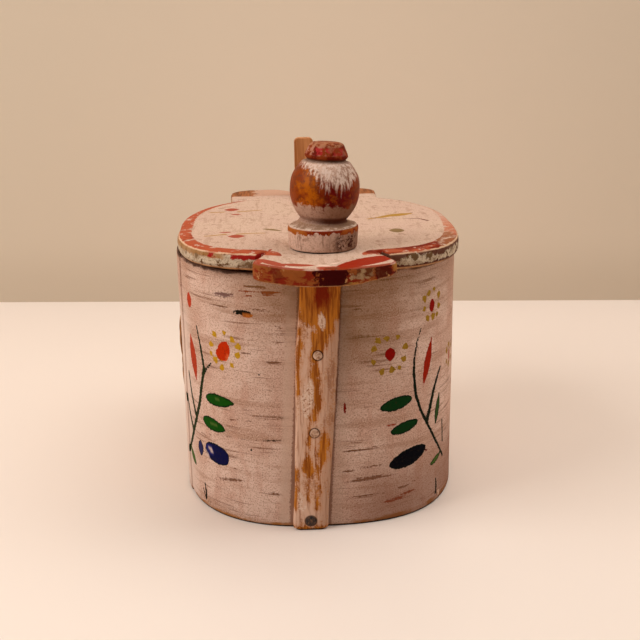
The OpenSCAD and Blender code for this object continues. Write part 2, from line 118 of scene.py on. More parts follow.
class Recipe:
    """One material, with short names for the nodes that it is built from."""

    def __init__(self, name, roughness, shine=0.35):
        self.material = bpy.data.materials.new(name)
        self.material.use_nodes = True
        self.tree = self.material.node_tree
        self.shader = self.tree.nodes["Principled BSDF"]
        self.shader.inputs["Roughness"].default_value = roughness
        self.shader.inputs["Specular IOR Level"].default_value = shine

    def add(self, kind, inputs, output=0, **settings):
        node = self.tree.nodes.new("ShaderNode" + kind)
        for name, value in settings.items():
            setattr(node, name, value)
        for key, value in inputs.items():
            if isinstance(value, bpy.types.NodeSocket):
                self.tree.links.new(value, node.inputs[key])
            elif value is not None:
                node.inputs[key].default_value = value
        return node.outputs[output]

    def place(self):
        """Where a point is on the object, in metres."""
        return self.add("TexCoord", {}, "Object")

    def kept(self, name, output="Fac"):
        """A value that was kept on the mesh."""
        return self.add("Attribute", {}, output, attribute_name=name)

    def sums(self, operation, first, second=0.0, third=0.0):
        return self.add("Math", {0: first, 1: second, 2: third}, operation=operation)

    def axis(self, vector, name):
        return self.add("SeparateXYZ", {0: vector}, name)

    def stretch(self, vector, x, y, z, move=(0, 0, 0)):
        """Squeezes or stretches a pattern along its axes."""
        return self.add("Mapping", {"Vector": vector, "Scale": (x, y, z), "Location": move})

    def clouds(self, vector, per_metre, detail=3.0, rough=0.55, warp=0.0):
        return self.add("TexNoise", {"Vector": vector, "Scale": per_metre, "Detail": detail,
                                     "Roughness": rough, "Distortion": warp}, "Fac")

    def between(self, value, low, high, from_value=0.0, to_value=1.0):
        """Rises smoothly from one value to another between two limits."""
        return self.add("MapRange", {"Value": value, "From Min": low, "From Max": high, "To Min": from_value,
                                     "To Max": to_value}, interpolation_type="SMOOTHSTEP")

    def over(self, mask, under, top, blend="MIX"):
        """Lays a colour over another where a mask lets it through."""
        return self.add("Mix", {0: mask, 6: under, 7: top}, 2, data_type="RGBA", blend_type=blend)

    def both(self, first, second):
        return self.sums("MULTIPLY", first, second)

    def either(self, first, second):
        return self.sums("MAXIMUM", first, second)

    def finish(self, paint, relief=None, depth_mm=0.2, roughness=None):
        self.tree.links.new(paint, self.shader.inputs["Base Color"])
        if relief is not None:
            bump = self.add("Bump", {"Height": relief, "Distance": depth_mm * mm, "Strength": 1.0})
            self.tree.links.new(bump, self.shader.inputs["Normal"])
        if roughness is not None:
            self.tree.links.new(roughness, self.shader.inputs["Roughness"])
        return self.material


# %% [markdown]
# ## The table, the wall and the light
# The box stands on a pale table in front of a plain warm wall. Old paint looks best in soft
# light: a large lamp at the upper left shapes the round band, a weak one at the right keeps the
# far side open, one from above draws the lid and the knob, and an even world fills the rest.
# A pool of light is painted on the wall behind the knob and a band of painted shade along its
# foot, and seen from its back the wall is clear, so that the box can be looked at from behind too.

# %% Build the table and the wall
table_mix = Recipe("table_pale", 0.35, 0.5)
table_mix.shader.inputs["Base Color"].default_value = colour(240, 222, 207)
bpy.ops.mesh.primitive_plane_add(size=6)
table_top = bpy.context.object
table_top.data.materials.append(table_mix.material)

wall_y, wall_turn, painted_light_middle = 0.328, -5.4, (0.06, -2.87, 0)
mix = Recipe("wall_warm", 0.9, 0.5)
wall_place = mix.place()
from_painted_light = mix.add("VectorMath", {0: wall_place, 1: painted_light_middle}, "Value", operation="DISTANCE")
# A painted pool of light: the wall is paler round a point behind the knob.
wall_paint = mix.over(mix.between(from_painted_light, 0.34, 0.03), colour(205, 184, 159), colour(220, 197, 171))
# Painted shade: the wall darkens along its foot, just above the table.
wall_paint = mix.over(mix.between(mix.axis(wall_place, "Y"), -2.94, -2.99, 0, 0.32), wall_paint, colour(180, 158, 132))
mix.finish(wall_paint)
see_through = mix.add("BsdfTransparent", {})
one_sided = mix.add("MixShader", {0: mix.add("NewGeometry", {}, "Backfacing"), 1: mix.shader.outputs[0], 2: see_through})
mix.tree.links.new(one_sided, mix.tree.nodes["Material Output"].inputs["Surface"])
bpy.ops.mesh.primitive_plane_add(size=6, location=(0, wall_y, 3), rotation=(math.radians(90), 0, math.radians(wall_turn)))
wall = bpy.context.object
wall.data.materials.append(mix.material)
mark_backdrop(table_top, wall)


# %% Hang the lamps
def lamp(name, place, size, power):
    """A square soft lamp that looks at the middle of the box."""
    bpy.ops.object.light_add(type="AREA", location=place)
    light = bpy.context.object
    light.name = name
    light.data.size = size
    light.data.energy = power
    aim = Vector((0, 0, 0.08)) - Vector(place)
    light.rotation_euler = aim.to_track_quat("-Z", "Y").to_euler()
    return light


lamp("key", (-1.0, -0.3, 0.85), 0.8, 11)
lamp("side", (1.1, 0.0, 0.6), 0.8, 3)
lamp("top", (0.45, 0.1, 1.25), 1.0, 10.5)
world = bpy.data.worlds.new("room")
world.use_nodes = True
world.node_tree.nodes["Background"].inputs["Color"].default_value = (1, 1, 1, 1)
world.node_tree.nodes["Background"].inputs["Strength"].default_value = 0.3
bpy.context.scene.world = world


# %% [markdown]
# ## Tools for the bench
# Each operator in Blender works on all that is selected, so the habits are fixed here: select
# one object only, pick faces or edges by where they are, move points by a rule, and leave every
# finished piece with its normals outwards and its place in its mesh.

# %% Select and shape
def only(piece):
    """Selects one object and nothing else."""
    bpy.ops.object.select_all(action="DESELECT")
    piece.select_set(True)
    bpy.context.view_layer.objects.active = piece


def open_mesh(piece):
    only(piece)
    bpy.ops.object.mode_set(mode="EDIT")


def close_mesh():
    bpy.ops.object.mode_set(mode="OBJECT")


def middle(item):
    """The middle of an edge or a face, or a vertex's own place."""
    points = [item.co] if isinstance(item, bmesh.types.BMVert) else [v.co for v in item.verts]
    return sum(points, Vector()) / len(points)


def pick(piece, kind, test):
    """In edit mode, selects the vertices, edges or faces that pass a test."""
    bpy.ops.mesh.select_mode(type=kind)
    bpy.ops.mesh.select_all(action="DESELECT")
    mesh = bmesh.from_edit_mesh(piece.data)
    for item in {"VERT": mesh.verts, "EDGE": mesh.edges, "FACE": mesh.faces}[kind]:
        if test(item):
            item.select_set(True)
    mesh.select_flush_mode()
    bmesh.update_edit_mesh(piece.data)


def move_points(piece, rule):
    """Moves every vertex to where a rule puts it."""
    for vertex in piece.data.vertices:
        vertex.co = rule(vertex.co.copy())
    piece.data.update()


def apply_modifier(piece, kind, **settings):
    only(piece)
    modifier = piece.modifiers.new(kind.lower(), kind)
    for name, value in settings.items():
        setattr(modifier, name, value)
    bpy.ops.object.modifier_apply(modifier=modifier.name)


def wavy(place, size, period, seed=0):
    """A small smooth unevenness: size is its height, period the length of its waves."""
    return size * noise.noise(place / period + Vector((seed, 2 * seed, 3 * seed)))


def finish_piece(piece, name, body, replaced, angle=40):
    """Merges doubles, turns the faces outwards, smooths them and hands the piece to the frame."""
    open_mesh(piece)
    bpy.ops.mesh.select_all(action="SELECT")
    bpy.ops.mesh.remove_doubles(threshold=0.00001)
    bpy.ops.mesh.normals_make_consistent(inside=False)
    close_mesh()
    bpy.ops.object.transform_apply(location=True, rotation=True, scale=True)
    bpy.ops.object.shade_smooth_by_angle(angle=math.radians(angle))
    piece.name = name
    piece.data.name = name
    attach(piece, body)
    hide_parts(*replaced)
    print(name, "faces:", len(piece.data.polygons))
    return piece


# %% [markdown]
# ## The bent band
# The band is one thin strip, steamed and bent to an oval that is squarer than an ellipse. Its
# ends lap on the left side. A painted surface needs two things from its mesh: points close
# enough together to carry the painting, and a coordinate that runs along the strip as the grain
# does. So the oval is measured first, by its length from the middle of the short post.

# %% Measure the oval
band_half_x = 70 * mm
band_half_y = 77 * mm
band_height = 125 * mm
band_wall = 3.6 * mm
band_square = 2.5


def oval(half_x, half_y, square, turn):
    """A point of an oval that is an ellipse at square 2 and boxier above."""
    c, s = math.cos(turn), math.sin(turn)
    return Vector((half_x * math.copysign(abs(c) ** (2 / square), c),
                   half_y * math.copysign(abs(s) ** (2 / square), s), 0))


oval_turns = np.linspace(-1.5 * math.pi, 0.5 * math.pi, 8001)
oval_points = np.array([oval(band_half_x, band_half_y, band_square, t)[:2] for t in oval_turns])
steps = np.hypot(*np.diff(oval_points, axis=0).T)
oval_lengths = np.concatenate([[0], np.cumsum(steps)]) - steps.sum() / 2
strip_end = oval_lengths[-1]
print("length round the band, mm:", round(2 * strip_end / mm, 1))


def turn_at(along):
    """The oval's turn at a length along the strip; 0 is the short post, + goes to the right."""
    return float(np.interp(along, oval_lengths, oval_turns))


def along_strip(points):
    """For points in metres, their length along the strip."""
    x, y = points[:, 0] / band_half_x, points[:, 1] / band_half_y
    turn = np.arctan2(np.sign(y) * np.abs(y) ** (band_square / 2), np.sign(x) * np.abs(x) ** (band_square / 2))
    turn = np.where(turn > math.pi / 2, turn - 2 * math.pi, turn)
    return np.interp(turn, oval_turns, oval_lengths)


# %% [markdown]
# The strip's columns are narrow where the sprays are painted and wider elsewhere. Two columns
# stand close together where the outer end of the lap makes its step. A circle with that many
# vertices is laid along the oval and drawn up to the band's height.

# %% Lay out the columns
lap_end = -88.6 * mm
lap_length = 52 * mm
lap_step = 0.6 * mm
spray_feet = (70.6 * mm, -89.6 * mm)
spray_reach = 50 * mm
fine_column = 0.75 * mm
wide_column = 2.6 * mm
row_height = 0.85 * mm


def near_spray(along):
    """True where one of the four sprays is painted; the far end has the same two turned round."""
    mirrored = math.copysign(strip_end, along) - along
    return any(min(foot, foot - math.copysign(spray_reach, foot)) - 8 * mm < a
               < max(foot, foot - math.copysign(spray_reach, foot)) + 12 * mm
               for foot in spray_feet for a in (along, mirrored))


columns = [-strip_end]
while columns[-1] < strip_end - wide_column:
    columns.append(columns[-1] + (fine_column if near_spray(columns[-1]) else wide_column))
columns = sorted([c for c in columns if abs(c - lap_end) > 0.3 * mm] + [lap_end, lap_end - 0.15 * mm])
print("columns:", len(columns))


def lap_skin(along):
    """The lap thickens the strip from its inner end to the step at its outer end."""
    into_lap = lap_end - along
    return lap_step * (1 - into_lap / lap_length) if 0 < into_lap < lap_length else 0


def strip_face(along, depth):
    """A point of the band's outside, moved in by a depth square to the oval."""
    turn = turn_at(along)
    point = oval(band_half_x, band_half_y, band_square, turn)
    slope = Vector((math.copysign(abs(point.x / band_half_x) ** (band_square - 1), point.x) / band_half_x,
                    math.copysign(abs(point.y / band_half_y) ** (band_square - 1), point.y) / band_half_y, 0))
    return point + slope.normalized() * (lap_skin(along) - depth)


# %% Draw the strip up and fold its inner wall down
bpy.ops.mesh.primitive_circle_add(vertices=len(columns), radius=band_half_x)
band = bpy.context.object
outer_ring = [strip_face(a, 0) for a in columns]
inner_ring = [strip_face(a, band_wall) for a in columns]
for vertex, place in zip(band.data.vertices, outer_ring):
    vertex.co = place

open_mesh(band)
bpy.ops.mesh.select_all(action="SELECT")
bpy.ops.mesh.extrude_region_move(TRANSFORM_OT_translate={"value": (0, 0, band_height)})
pick(band, "EDGE", lambda e: abs(e.verts[0].co.z - e.verts[1].co.z) > band_height / 2)
bpy.ops.mesh.subdivide(number_cuts=round(band_height / row_height) - 1)
pick(band, "VERT", lambda v: v.co.z > band_height - 0.01 * mm)
bpy.ops.mesh.extrude_region_move(TRANSFORM_OT_translate={"value": (0, 0, mm)})
close_mesh()

inner_of = {(round(o.x, 7), round(o.y, 7)): i for o, i in zip(outer_ring, inner_ring)}
for vertex in band.data.vertices:
    if vertex.co.z > band_height + mm / 2:
        inner = inner_of[round(vertex.co.x, 7), round(vertex.co.y, 7)]
        vertex.co = (inner.x, inner.y, band_height)

open_mesh(band)
bpy.ops.mesh.extrude_region_move(TRANSFORM_OT_translate={"value": (0, 0, -band_height)})
pick(band, "EDGE", lambda e: max(v.co.z for v in e.verts) < 0.01 * mm)
bpy.ops.mesh.bridge_edge_loops()
close_mesh()

# %% [markdown]
# A bent strip is never quite even. The arrises at the top and the foot are rounded by hand, and
# the wall waves by a few tenths of a millimetre.

# %% Soften the band
arris = 1.2 * mm


def soften_band(place):
    outward = Vector((place.x / band_half_x, place.y / band_half_y, 0)).normalized()
    past_arris = max(arris - place.z, place.z - (band_height - arris), 0) / arris
    drawn_in = 0.5 * mm * (1 - math.sqrt(max(0, 1 - past_arris ** 2)))
    inside = (place.x / (band_half_x - 1.8 * mm)) ** 2 + (place.y / (band_half_y - 1.8 * mm)) ** 2 < 1
    return place + outward * (wavy(place, 0.35 * mm, 45 * mm) + (drawn_in if inside else -drawn_in))


move_points(band, soften_band)
finish_piece(band, "band_strip", "box", ["band"], angle=60)

# %% [markdown]
# ## The painted sprays
# The flowers are brush strokes, so they are written as strokes: a petal from one point to
# another with a width, a stem through a few points, and dots. For each vertex a stroke gives
# how deep the vertex lies inside it, in millimetres. The deepest stroke wins, and the depth and
# its colour are kept on the mesh. The finish later turns depth into a brushed edge.

# %% Make the strokes
def petal(start, end, width, blunt=1.0, heavy=1.0):
    """A brush stroke that swells on its way. A lower blunt rounds its ends, a lower heavy fattens its start."""
    start, end = np.array(start, float), np.array(end, float)
    length = np.linalg.norm(end - start)
    way = (end - start) / length

    def depth(points):
        share = (points - start) @ way / length
        aside = np.abs((points - start) @ np.array((-way[1], way[0])))
        half = width / 2 * np.sin(np.pi * np.clip(share, 0, 1) ** heavy) ** blunt
        beyond = np.maximum(np.maximum(-share, share - 1), 0) * length
        return np.where(beyond > 0, -np.hypot(beyond, aside), half - aside)
    return depth


def stem(points_on_it, width_start, width_end):
    """A line through points, that thins or thickens on its way."""
    line = np.array(points_on_it, float)
    widths = np.linspace(width_start, width_end, len(line))

    def depth(points):
        best = np.full(len(points), -9.0)
        for a, b, wa, wb in zip(line, line[1:], widths, widths[1:]):
            share = np.clip((points - a) @ (b - a) / ((b - a) @ (b - a)), 0, 1)
            gap = np.linalg.norm(points - a - share[:, None] * (b - a), axis=1)
            best = np.maximum(best, (wa + (wb - wa) * share) / 2 - gap)
        return best
    return depth


def dot(centre, wide, tall):
    return petal((centre[0], centre[1] - tall / 2), (centre[0], centre[1] + tall / 2), wide, 0.5)


def ring_of_dots(centre, wide, tall, count, first=0.3, inward=1.0):
    """The dabs round a flower, a little uneven as by hand, fat outside and pointed inwards or upright."""
    dabs = []
    for i in range(count):
        turn = 2 * math.pi * i / count + first + 0.16 * math.sin(5.1 * i)
        reach = 1 + 0.07 * math.cos(3.7 * i)
        place = np.array((centre[0] + wide / 2 * reach * math.cos(turn), centre[1] + tall / 2 * reach * math.sin(turn)))
        half = np.array((math.cos(turn) * inward, math.sin(turn) * inward + 1 - inward))
        half *= (1.6 + 0.3 * math.cos(1.9 * i)) / np.linalg.norm(half)
        dabs.append(petal(place + half, place - half, 3.2 + 0.5 * math.sin(2.3 * i), 0.8, 0.45))
    return dabs

# %% [markdown]
# Both sprays have the same parts. Lengths are in millimetres from the foot of the stems towards
# the short post, and heights from the table. The right one has darker greens.

# %% Paint the two sprays
red_left = colour(184, 42, 0)
red_right = colour(134, 8, 0)
red_worn = colour(166, 78, 50)
yellow_left = colour(186, 136, 30)
yellow_right = colour(150, 110, 32)
leaf_left = colour(14, 68, 3)
leaf_right = colour(9, 48, 14)
leaf_light = colour(70, 92, 34)
stem_left = colour(42, 52, 18)
stem_right = colour(24, 30, 14)
blue_left = colour(10, 10, 56)
blue_right = colour(2, 2, 8)
scratch = colour(186, 158, 150)

left_spray = [
    (stem([(20.9, 94.6), (22.5, 89), (23.9, 84.4), (25.7, 74.8), (24.6, 70)], 0.9, 2.1), stem_left),
    (stem([(24.6, 70), (22.6, 64), (20.1, 54.8), (15.5, 45.2), (7.7, 32.1), (0, 22.6)], 2.1, 2.6), stem_left),
    (stem([(23.6, 68), (27.5, 74), (31.6, 77.8)], 1.5, 1.1), stem_left),
    (stem([(6.3, 67), (9.6, 57), (14.5, 47.5)], 1.6, 2.4), stem_left),
    (stem([(0, 53), (4, 46), (9.5, 38)], 2.2, 2.6), stem_left),
    (petal((12.6, 88.8), (17.6, 65.4), 7.0), colour(168, 54, 26)),
    (petal((13.8, 109.2), (13.8, 101.6), 6.0, 0.6), colour(176, 56, 28)),
    (petal((38.4, 81.0), (42.6, 90.6), 7.2, 0.45), red_left),
    (dot((39.0, 84.4), 6.6, 5), red_left),
    (petal((41.8, 80.8), (43.6, 85.4), 1.3), colour(206, 84, 40)),
    (petal((26.2, 59.7), (45.4, 60.5), 6.2, 0.6, 0.8), leaf_left),
    (petal((31, 60.3), (39, 60.4), 0.7), leaf_light),
    (petal((22.9, 47.5), (39.4, 45.9), 6.6, 0.5, 0.85), leaf_left),
    (petal((28, 47.2), (35, 46.8), 0.7), leaf_light),
    (petal((18.9, 34.8), (19.1, 26.6), 5.6, 0.6), colour(44, 38, 76)),
    (petal((24.0, 32.9), (41.2, 31.0), 10.2, 0.3, 1.1), blue_left),
    (petal((24.6, 33.6), (31.0, 32.0), 4.6, 0.5), colour(36, 34, 92)),
    (petal((26.7, 34.4), (30.4, 31.4), 1.8, 0.6), scratch),
    (petal((24.6, 31.0), (28.0, 27.8), 1.0, 0.6), scratch),
    (petal((2.6, 25.4), (12.0, 18.4), 5.0, 0.8), leaf_light),
] + [(d, yellow_left) for d in ring_of_dots((40.6, 86.6), 15.8, 16.6, 10)]

right_spray = [
    (stem([(21.9, 94.6), (24.6, 88), (26.2, 80), (26.4, 72.6)], 0.6, 1.5), stem_right),
    (stem([(26.4, 72.6), (25.0, 61.8), (21.6, 53), (17.3, 45.8), (9.6, 34.3), (0, 22)], 1.7, 1.4), stem_right),
    (stem([(5.6, 71), (9.6, 65.5), (12.1, 60.3), (16.9, 46.4)], 1.4, 2.6), stem_right),
    (petal((6.1, 58.4), (9.6, 41.2), 4.2), colour(46, 68, 26)),
    (stem([(1.8, 42), (0.4, 30)], 1.1, 1.3), stem_left),
    (petal((14.1, 88.6), (20.3, 64.6), 4.6), colour(148, 28, 4)),
    (dot((14.4, 103.7), 4.0, 6.4), red_right),
    (dot((39.6, 84.7), 5.2, 6.4), red_right),
    (dot((-7.4, 73.1), 2.6, 6.0), red_worn),
    (petal((44.6, 58.4), (27.2, 61.0), 6.6, 0.5), leaf_right),
    (petal((39.4, 45.4), (23.4, 48.3), 5.8, 0.5), leaf_right),
    (petal((39.8, 28.4), (17.6, 33.2), 9.0, 0.5), blue_right),
    (dot((17.0, 30.6), 1.6, 1.8), colour(96, 20, 16)),
    (petal((14.6, 21.4), (2.4, 25.0), 3.2, 0.8), leaf_light),
] + [(d, yellow_right) for d in ring_of_dots((39.9, 84.8), 16.6, 16.4, 10, 0.9)] \
  + [(d, yellow_right) for d in ring_of_dots((14.2, 104.2), 12.2, 14.0, 9, 0.5, 0.3)] \
  + [(d, yellow_right) for d in ring_of_dots((-7.4, 73.3), 9.0, 11.0, 6, 0.5, 0.3)]
print("strokes in the sprays:", len(left_spray), len(right_spray))

# %% [markdown]
# The band also carries the marks of its age: dark splits over the small pegs, one gouge with
# bare wood, a few specks, and a dab of red beside the short post.

# %% Write the old marks
split_dark = colour(36, 14, 4)
bare_orange = colour(170, 92, 34)
old_marks = [
    (stem([(-67.9, 12.5), (-67.2, 8), (-67.6, 4.5)], 0.9, 2.0), split_dark),
    (stem([(-70.2, 9), (-69.0, 6.2)], 0.5, 0.9), split_dark),
    (stem([(62.6, 12.6), (63.2, 8), (62.7, 4.6)], 0.9, 1.9), split_dark),
    (petal((-38.4, 104.6), (-32.0, 105.0), 2.0, 0.6), bare_orange),
    (petal((-43.2, 105.9), (-33.4, 106.4), 2.1, 0.6), split_dark),
    (dot((-35.8, 38.6), 1.5, 1.0), split_dark),
    (dot((-30.5, 76.7), 1.2, 1.0), split_dark),
    (dot((18.5, 18.4), 1.0, 1.0), split_dark),
    (dot((12.7, 108.6), 1.6, 1.2), split_dark),
    (dot((8.9, 60.4), 1.5, 6.0), colour(124, 24, 14)),
    (dot((83.8, 102.3), 1.0, 2.4), split_dark),
]
violet_grain, red_grain, brown_grain = colour(108, 74, 70), colour(136, 42, 10), colour(112, 72, 50)
grain_marks = [
    ((-54.5, 113), (-40.5, 114.5), 2.2, violet_grain), ((-50, 112.8), (-41.5, 114), 1.8, violet_grain),
    ((-41, 115.8), (-28, 115.9), 2.1, red_grain), ((-39, 114.3), (-31, 114.5), 1.9, red_grain),
    ((-31, 116.4), (-18.5, 116.4), 2.2, red_grain), ((-28, 115.1), (-21.5, 115.3), 1.7, red_grain),
    ((-36.5, 118.8), (-25, 119), 1.6, brown_grain), ((-59, 108), (-43, 107.5), 1.2, brown_grain),
    ((-38.5, 108), (-17.5, 108.5), 1.4, brown_grain), ((-24, 100), (-17, 100), 1.4, brown_grain),
    ((-32.5, 92.5), (-14.5, 93), 1.4, brown_grain), ((-40.5, 86.5), (-34, 86.5), 1.3, brown_grain),
    ((-60, 73.5), (-44.5, 76), 1.1, brown_grain), ((-34, 68.5), (-23, 69), 1.5, split_dark),
    ((-27.5, 83), (-19.5, 83), 1.2, brown_grain),
    ((-53, 51), (-38.5, 53), 1.4, brown_grain), ((-45.5, 52), (-16.5, 56), 1.1, brown_grain),
    ((-74.5, 38.5), (-46, 43.5), 1.7, brown_grain), ((-44.5, 43), (-17.5, 45), 1.1, split_dark),
    ((-48, 27), (-38.5, 28.5), 1.5, brown_grain), ((-61, 18.5), (-39, 22), 1.8, brown_grain),
    ((-32, 17.5), (-18, 17.5), 1.4, brown_grain), ((14, 113.5), (27.5, 115), 1.6, brown_grain),
    ((9.5, 108.5), (22, 106.5), 1.8, brown_grain),
    ((8, 96.5), (28.5, 94), 1.2, brown_grain), ((6.5, 58.5), (26, 59.5), 1.6, brown_grain),
    ((28.5, 49.5), (35.5, 50), 2.0, red_grain), ((6.5, 47.5), (28, 48.5), 1.6, brown_grain),
    ((6.5, 38), (34, 40.5), 1.2, brown_grain), ((6.5, 28.5), (12.5, 28.5), 1.7, brown_grain),
    ((13, 29), (30, 30.5), 1.4, brown_grain), ((6.5, 23), (36.5, 24), 2.0, brown_grain),
    ((10.5, 15), (32.5, 15.5), 1.5, brown_grain), ((26, 9), (50, 14), 2.6, red_grain),
    ((32.5, 15.5), (46.5, 17.5), 1.6, brown_grain), ((9, 6), (16, 8.5), 1.2, brown_grain),
]


def keep_strokes(mesh, points, strokes, name="paint"):
    """Keeps on a mesh how deep each vertex lies in its nearest stroke, and the colour of the last one there."""
    depth = np.full(len(points), -5.0)
    paints = np.tile(np.array(strokes[0][1]), (len(points), 1))
    for stroke, paint in strokes:
        here = stroke(points)
        paints[(here > 0) | (here > depth)] = paint
        depth = np.maximum(depth, here)
    mesh.attributes.new(name + "_depth", "FLOAT", "POINT").data.foreach_set("value", depth)
    mesh.attributes.new(name + "_colour", "FLOAT_COLOR", "POINT").data.foreach_set("color", paints.ravel())
    return depth


def placed(stroke, foot, way):
    """A stroke of a spray, with the spray's foot at a place along the strip."""
    return lambda points: stroke(np.column_stack(((points[:, 0] - foot) * way, points[:, 1])))

# %% Put the strokes on the band
band_points = np.array([v.co[:] for v in band.data.vertices])
band_along = along_strip(band_points)
outside = ((band_points[:, 0] / (band_half_x - 2 * mm)).astype(float) ** 2
           + (band_points[:, 1] / (band_half_y - 2 * mm)) ** 2 > 1)
flat = np.column_stack((band_along, band_points[:, 2])) / mm
painted_side = np.where(outside[:, None], flat, -900)
strip_end_mm = strip_end / mm
right_foot, left_foot = spray_feet[0] / mm, spray_feet[1] / mm
band_strokes = [(placed(s, left_foot, 1), c) for s, c in left_spray]
band_strokes += [(placed(s, right_foot, -1), c) for s, c in right_spray]
band_strokes += [(placed(s, -strip_end_mm - left_foot, -1), c) for s, c in left_spray]
band_strokes += [(placed(s, strip_end_mm - right_foot, 1), c) for s, c in right_spray]
band_strokes += old_marks
band_depth = keep_strokes(band.data, painted_side, band_strokes)
keep_strokes(band.data, painted_side, [(petal(a, b, w, 0.6), c) for a, b, w, c in grain_marks], "grain")
strip_way = np.column_stack((band_along, band_points[:, 2], np.where(outside, 0, 0.05)))
band.data.attributes.new("strip", "FLOAT_VECTOR", "POINT").data.foreach_set("vector", strip_way.ravel())
print("painted share of the band:", round(float((band_depth > 0).mean()), 3))

# %% [markdown]
# ## The root lacing
# A split root sews the lap. Each stitch runs up the outside and dives through a hole, so it is
# thick in the middle and thin at its ends. One strand is modelled and copied.

# %% Twist the stitches
stitch_low, stitch_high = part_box("root_lacing")
stitch_holes = 3
stitch_step = (stitch_high.z - stitch_low.z - 4.6 * mm) / (stitch_holes - 1)
stitch_half = stitch_step / 2 + 2.2 * mm
lacing_y = -17 * mm
outer_x = stitch_low.x + 1.5 * mm
inner_x = stitch_high.x - 1.1 * mm

bpy.ops.mesh.primitive_cylinder_add(vertices=14, radius=1, depth=2, end_fill_type="TRIFAN")
strand = bpy.context.object
open_mesh(strand)
pick(strand, "EDGE", lambda e: abs(e.verts[0].co.z - e.verts[1].co.z) > 1.5)
bpy.ops.mesh.subdivide(number_cuts=22)
close_mesh()


def lay_strand(place):
    share = place.z
    swell = max(0.05, 1 - abs(share) ** 3.2) ** 0.5
    twist = math.sin(9 * share + 3 * math.atan2(place.y, place.x)) * 0.08
    return Vector(((place.x * (0.8 + twist) * swell - 0.35 * (1 - share ** 2)) * mm,
                   place.y * (1.5 + twist) * swell * mm + share * 0.7 * mm, share * stitch_half))


move_points(strand, lay_strand)
strands = []
for hole in range(stitch_holes - 1):
    for side_x, mirror in ((outer_x, 1), (inner_x, -1)):
        copy = strand.copy()
        copy.data = strand.data.copy()
        bpy.context.collection.objects.link(copy)
        height = stitch_low.z + 2.3 * mm + stitch_step * (hole + 0.5)
        lift = 0.25 * mm * (1 if hole else -1)
        move_points(copy, lambda p: Vector((side_x + mirror * (p.x - lift), lacing_y + p.y, height + p.z)))
        strands.append(copy)
bpy.data.objects.remove(strand)
only(strands[0])
for piece in strands:
    piece.select_set(True)
bpy.ops.object.join()
lacing = finish_piece(bpy.context.object, "root_stitches", "box", ["root_lacing"], angle=60)

# %% [markdown]
# ## The short post
# This post is a flat stave, whittled with a knife: chamfered along its outer edges, thinner at
# the foot, and it leans. It starts as a cube that is cut across many times, so that its edges
# can wander a little on the way up.

# %% Whittle the short post
post_foot_w, post_w = 16.4 * mm, 18 * mm
post_foot_t, post_top_t = 3.3 * mm, 4.8 * mm
foot_x, top_x = -8 * mm, -1.3 * mm
foot_round = 2.4 * mm
near_heights = (0, 50 * mm, 75 * mm, 125 * mm)
near_widths = (post_foot_w, 17.4 * mm, 19.6 * mm, post_w)


def stave(name, rows, columns=7):
    """A cube cut into rows and columns, with its two outer long edges planed off."""
    bpy.ops.mesh.primitive_cube_add(size=2)
    piece = bpy.context.object
    piece.name = name
    open_mesh(piece)
    pick(piece, "EDGE", lambda e: abs(e.verts[0].co.z - e.verts[1].co.z) > 1)
    bpy.ops.mesh.subdivide(number_cuts=rows)
    pick(piece, "EDGE", lambda e: middle(e).y < -0.9 and abs(middle(e).x) > 0.9
         and abs(e.verts[0].co.z - e.verts[1].co.z) > 0.001)
    bpy.ops.mesh.bevel(offset=0.24, segments=3)
    pick(piece, "EDGE", lambda e: abs(e.verts[0].co.x - e.verts[1].co.x) > 1)
    bpy.ops.mesh.subdivide(number_cuts=columns)
    close_mesh()
    return piece


near_post = stave("near_post_stave", 120, 17)


def whittle_near(place):
    share = (place.z + 1) / 2
    z = share * band_height
    width = float(np.interp(z, near_heights, near_widths))
    thick = post_foot_t + (post_top_t - post_foot_t) * share
    below = max(0.0, foot_round - z)
    width -= 2 * (foot_round - math.sqrt(foot_round ** 2 - below ** 2))
    if share < 0.012:
        thick -= 0.5 * mm
    x = foot_x + (top_x - foot_x) * share + place.x * width / 2
    front = (1 - place.y) / 2
    y = -band_half_y + 0.9 * mm - front * (thick + 0.9 * mm)
    spot = Vector((x, y, z))
    return spot + Vector((wavy(spot, 0.5 * mm, 22 * mm, 3) * abs(place.x), wavy(spot, 0.45 * mm, 13 * mm, 5) * front, 0))


move_points(near_post, whittle_near)
finish_piece(near_post, "near_post_stave", "box", ["near_post"], angle=32)

# %% [markdown]
# Hands and the lid have rubbed the post's paint away at the top, down its middle and here and
# there along the left edge. The bare places are written as strokes again, sideways from the
# post's leaning middle line, and so is a patch where thick paint has cracked.

# %% Rub the post's paint
bare, cracked = (1, 1, 1, 1), (0, 0, 0, 1)
post_marks = [
    (stem([(0, 127), (0, 111)], 26, 20), bare),
    (stem([(1.5, 112), (2.4, 101), (0.5, 92)], 13, 5), bare),
    (stem([(-1.5, 98), (-1.4, 84), (-0.6, 76), (0.6, 66), (-0.6, 57)], 3.6, 2.8), bare),
    (stem([(-8.2, 100), (-8.4, 86), (-8.4, 70)], 2.4, 1.4), bare),
    (petal((4.6, 51), (4.2, 33), 5.0, 0.6), bare),
    (petal((-2.6, 38), (-1.6, 28), 5.0, 0.6), bare),
    (stem([(-1.8, 58), (-2.2, 48), (-1.8, 36), (-1.8, 16)], 1.2, 1.0), bare),
    (stem([(2.2, 34), (2.6, 12)], 1.0, 1.4), bare),
    (stem([(-7.8, 31), (-7.8, 12)], 1.6, 2.4), bare),
    (stem([(-9, 0.6), (9, 0.6)], 2.4, 2.4), bare),
    (petal((-3.0, 76), (-4.6, 58), 5.4, 0.6), cracked),
    (petal((1.0, 108), (1.6, 100), 3.4, 0.6), cracked),
    (petal((-5.6, 20), (-4.6, 10), 4.0, 0.6), cracked),
]
post_points = np.array([v.co[:] for v in near_post.data.vertices])
middle_line = foot_x + (top_x - foot_x) * post_points[:, 2] / band_height
post_flat = np.column_stack((post_points[:, 0] - middle_line, post_points[:, 2])) / mm
keep_strokes(near_post.data, post_flat, post_marks)
print("post vertices:", len(post_points))

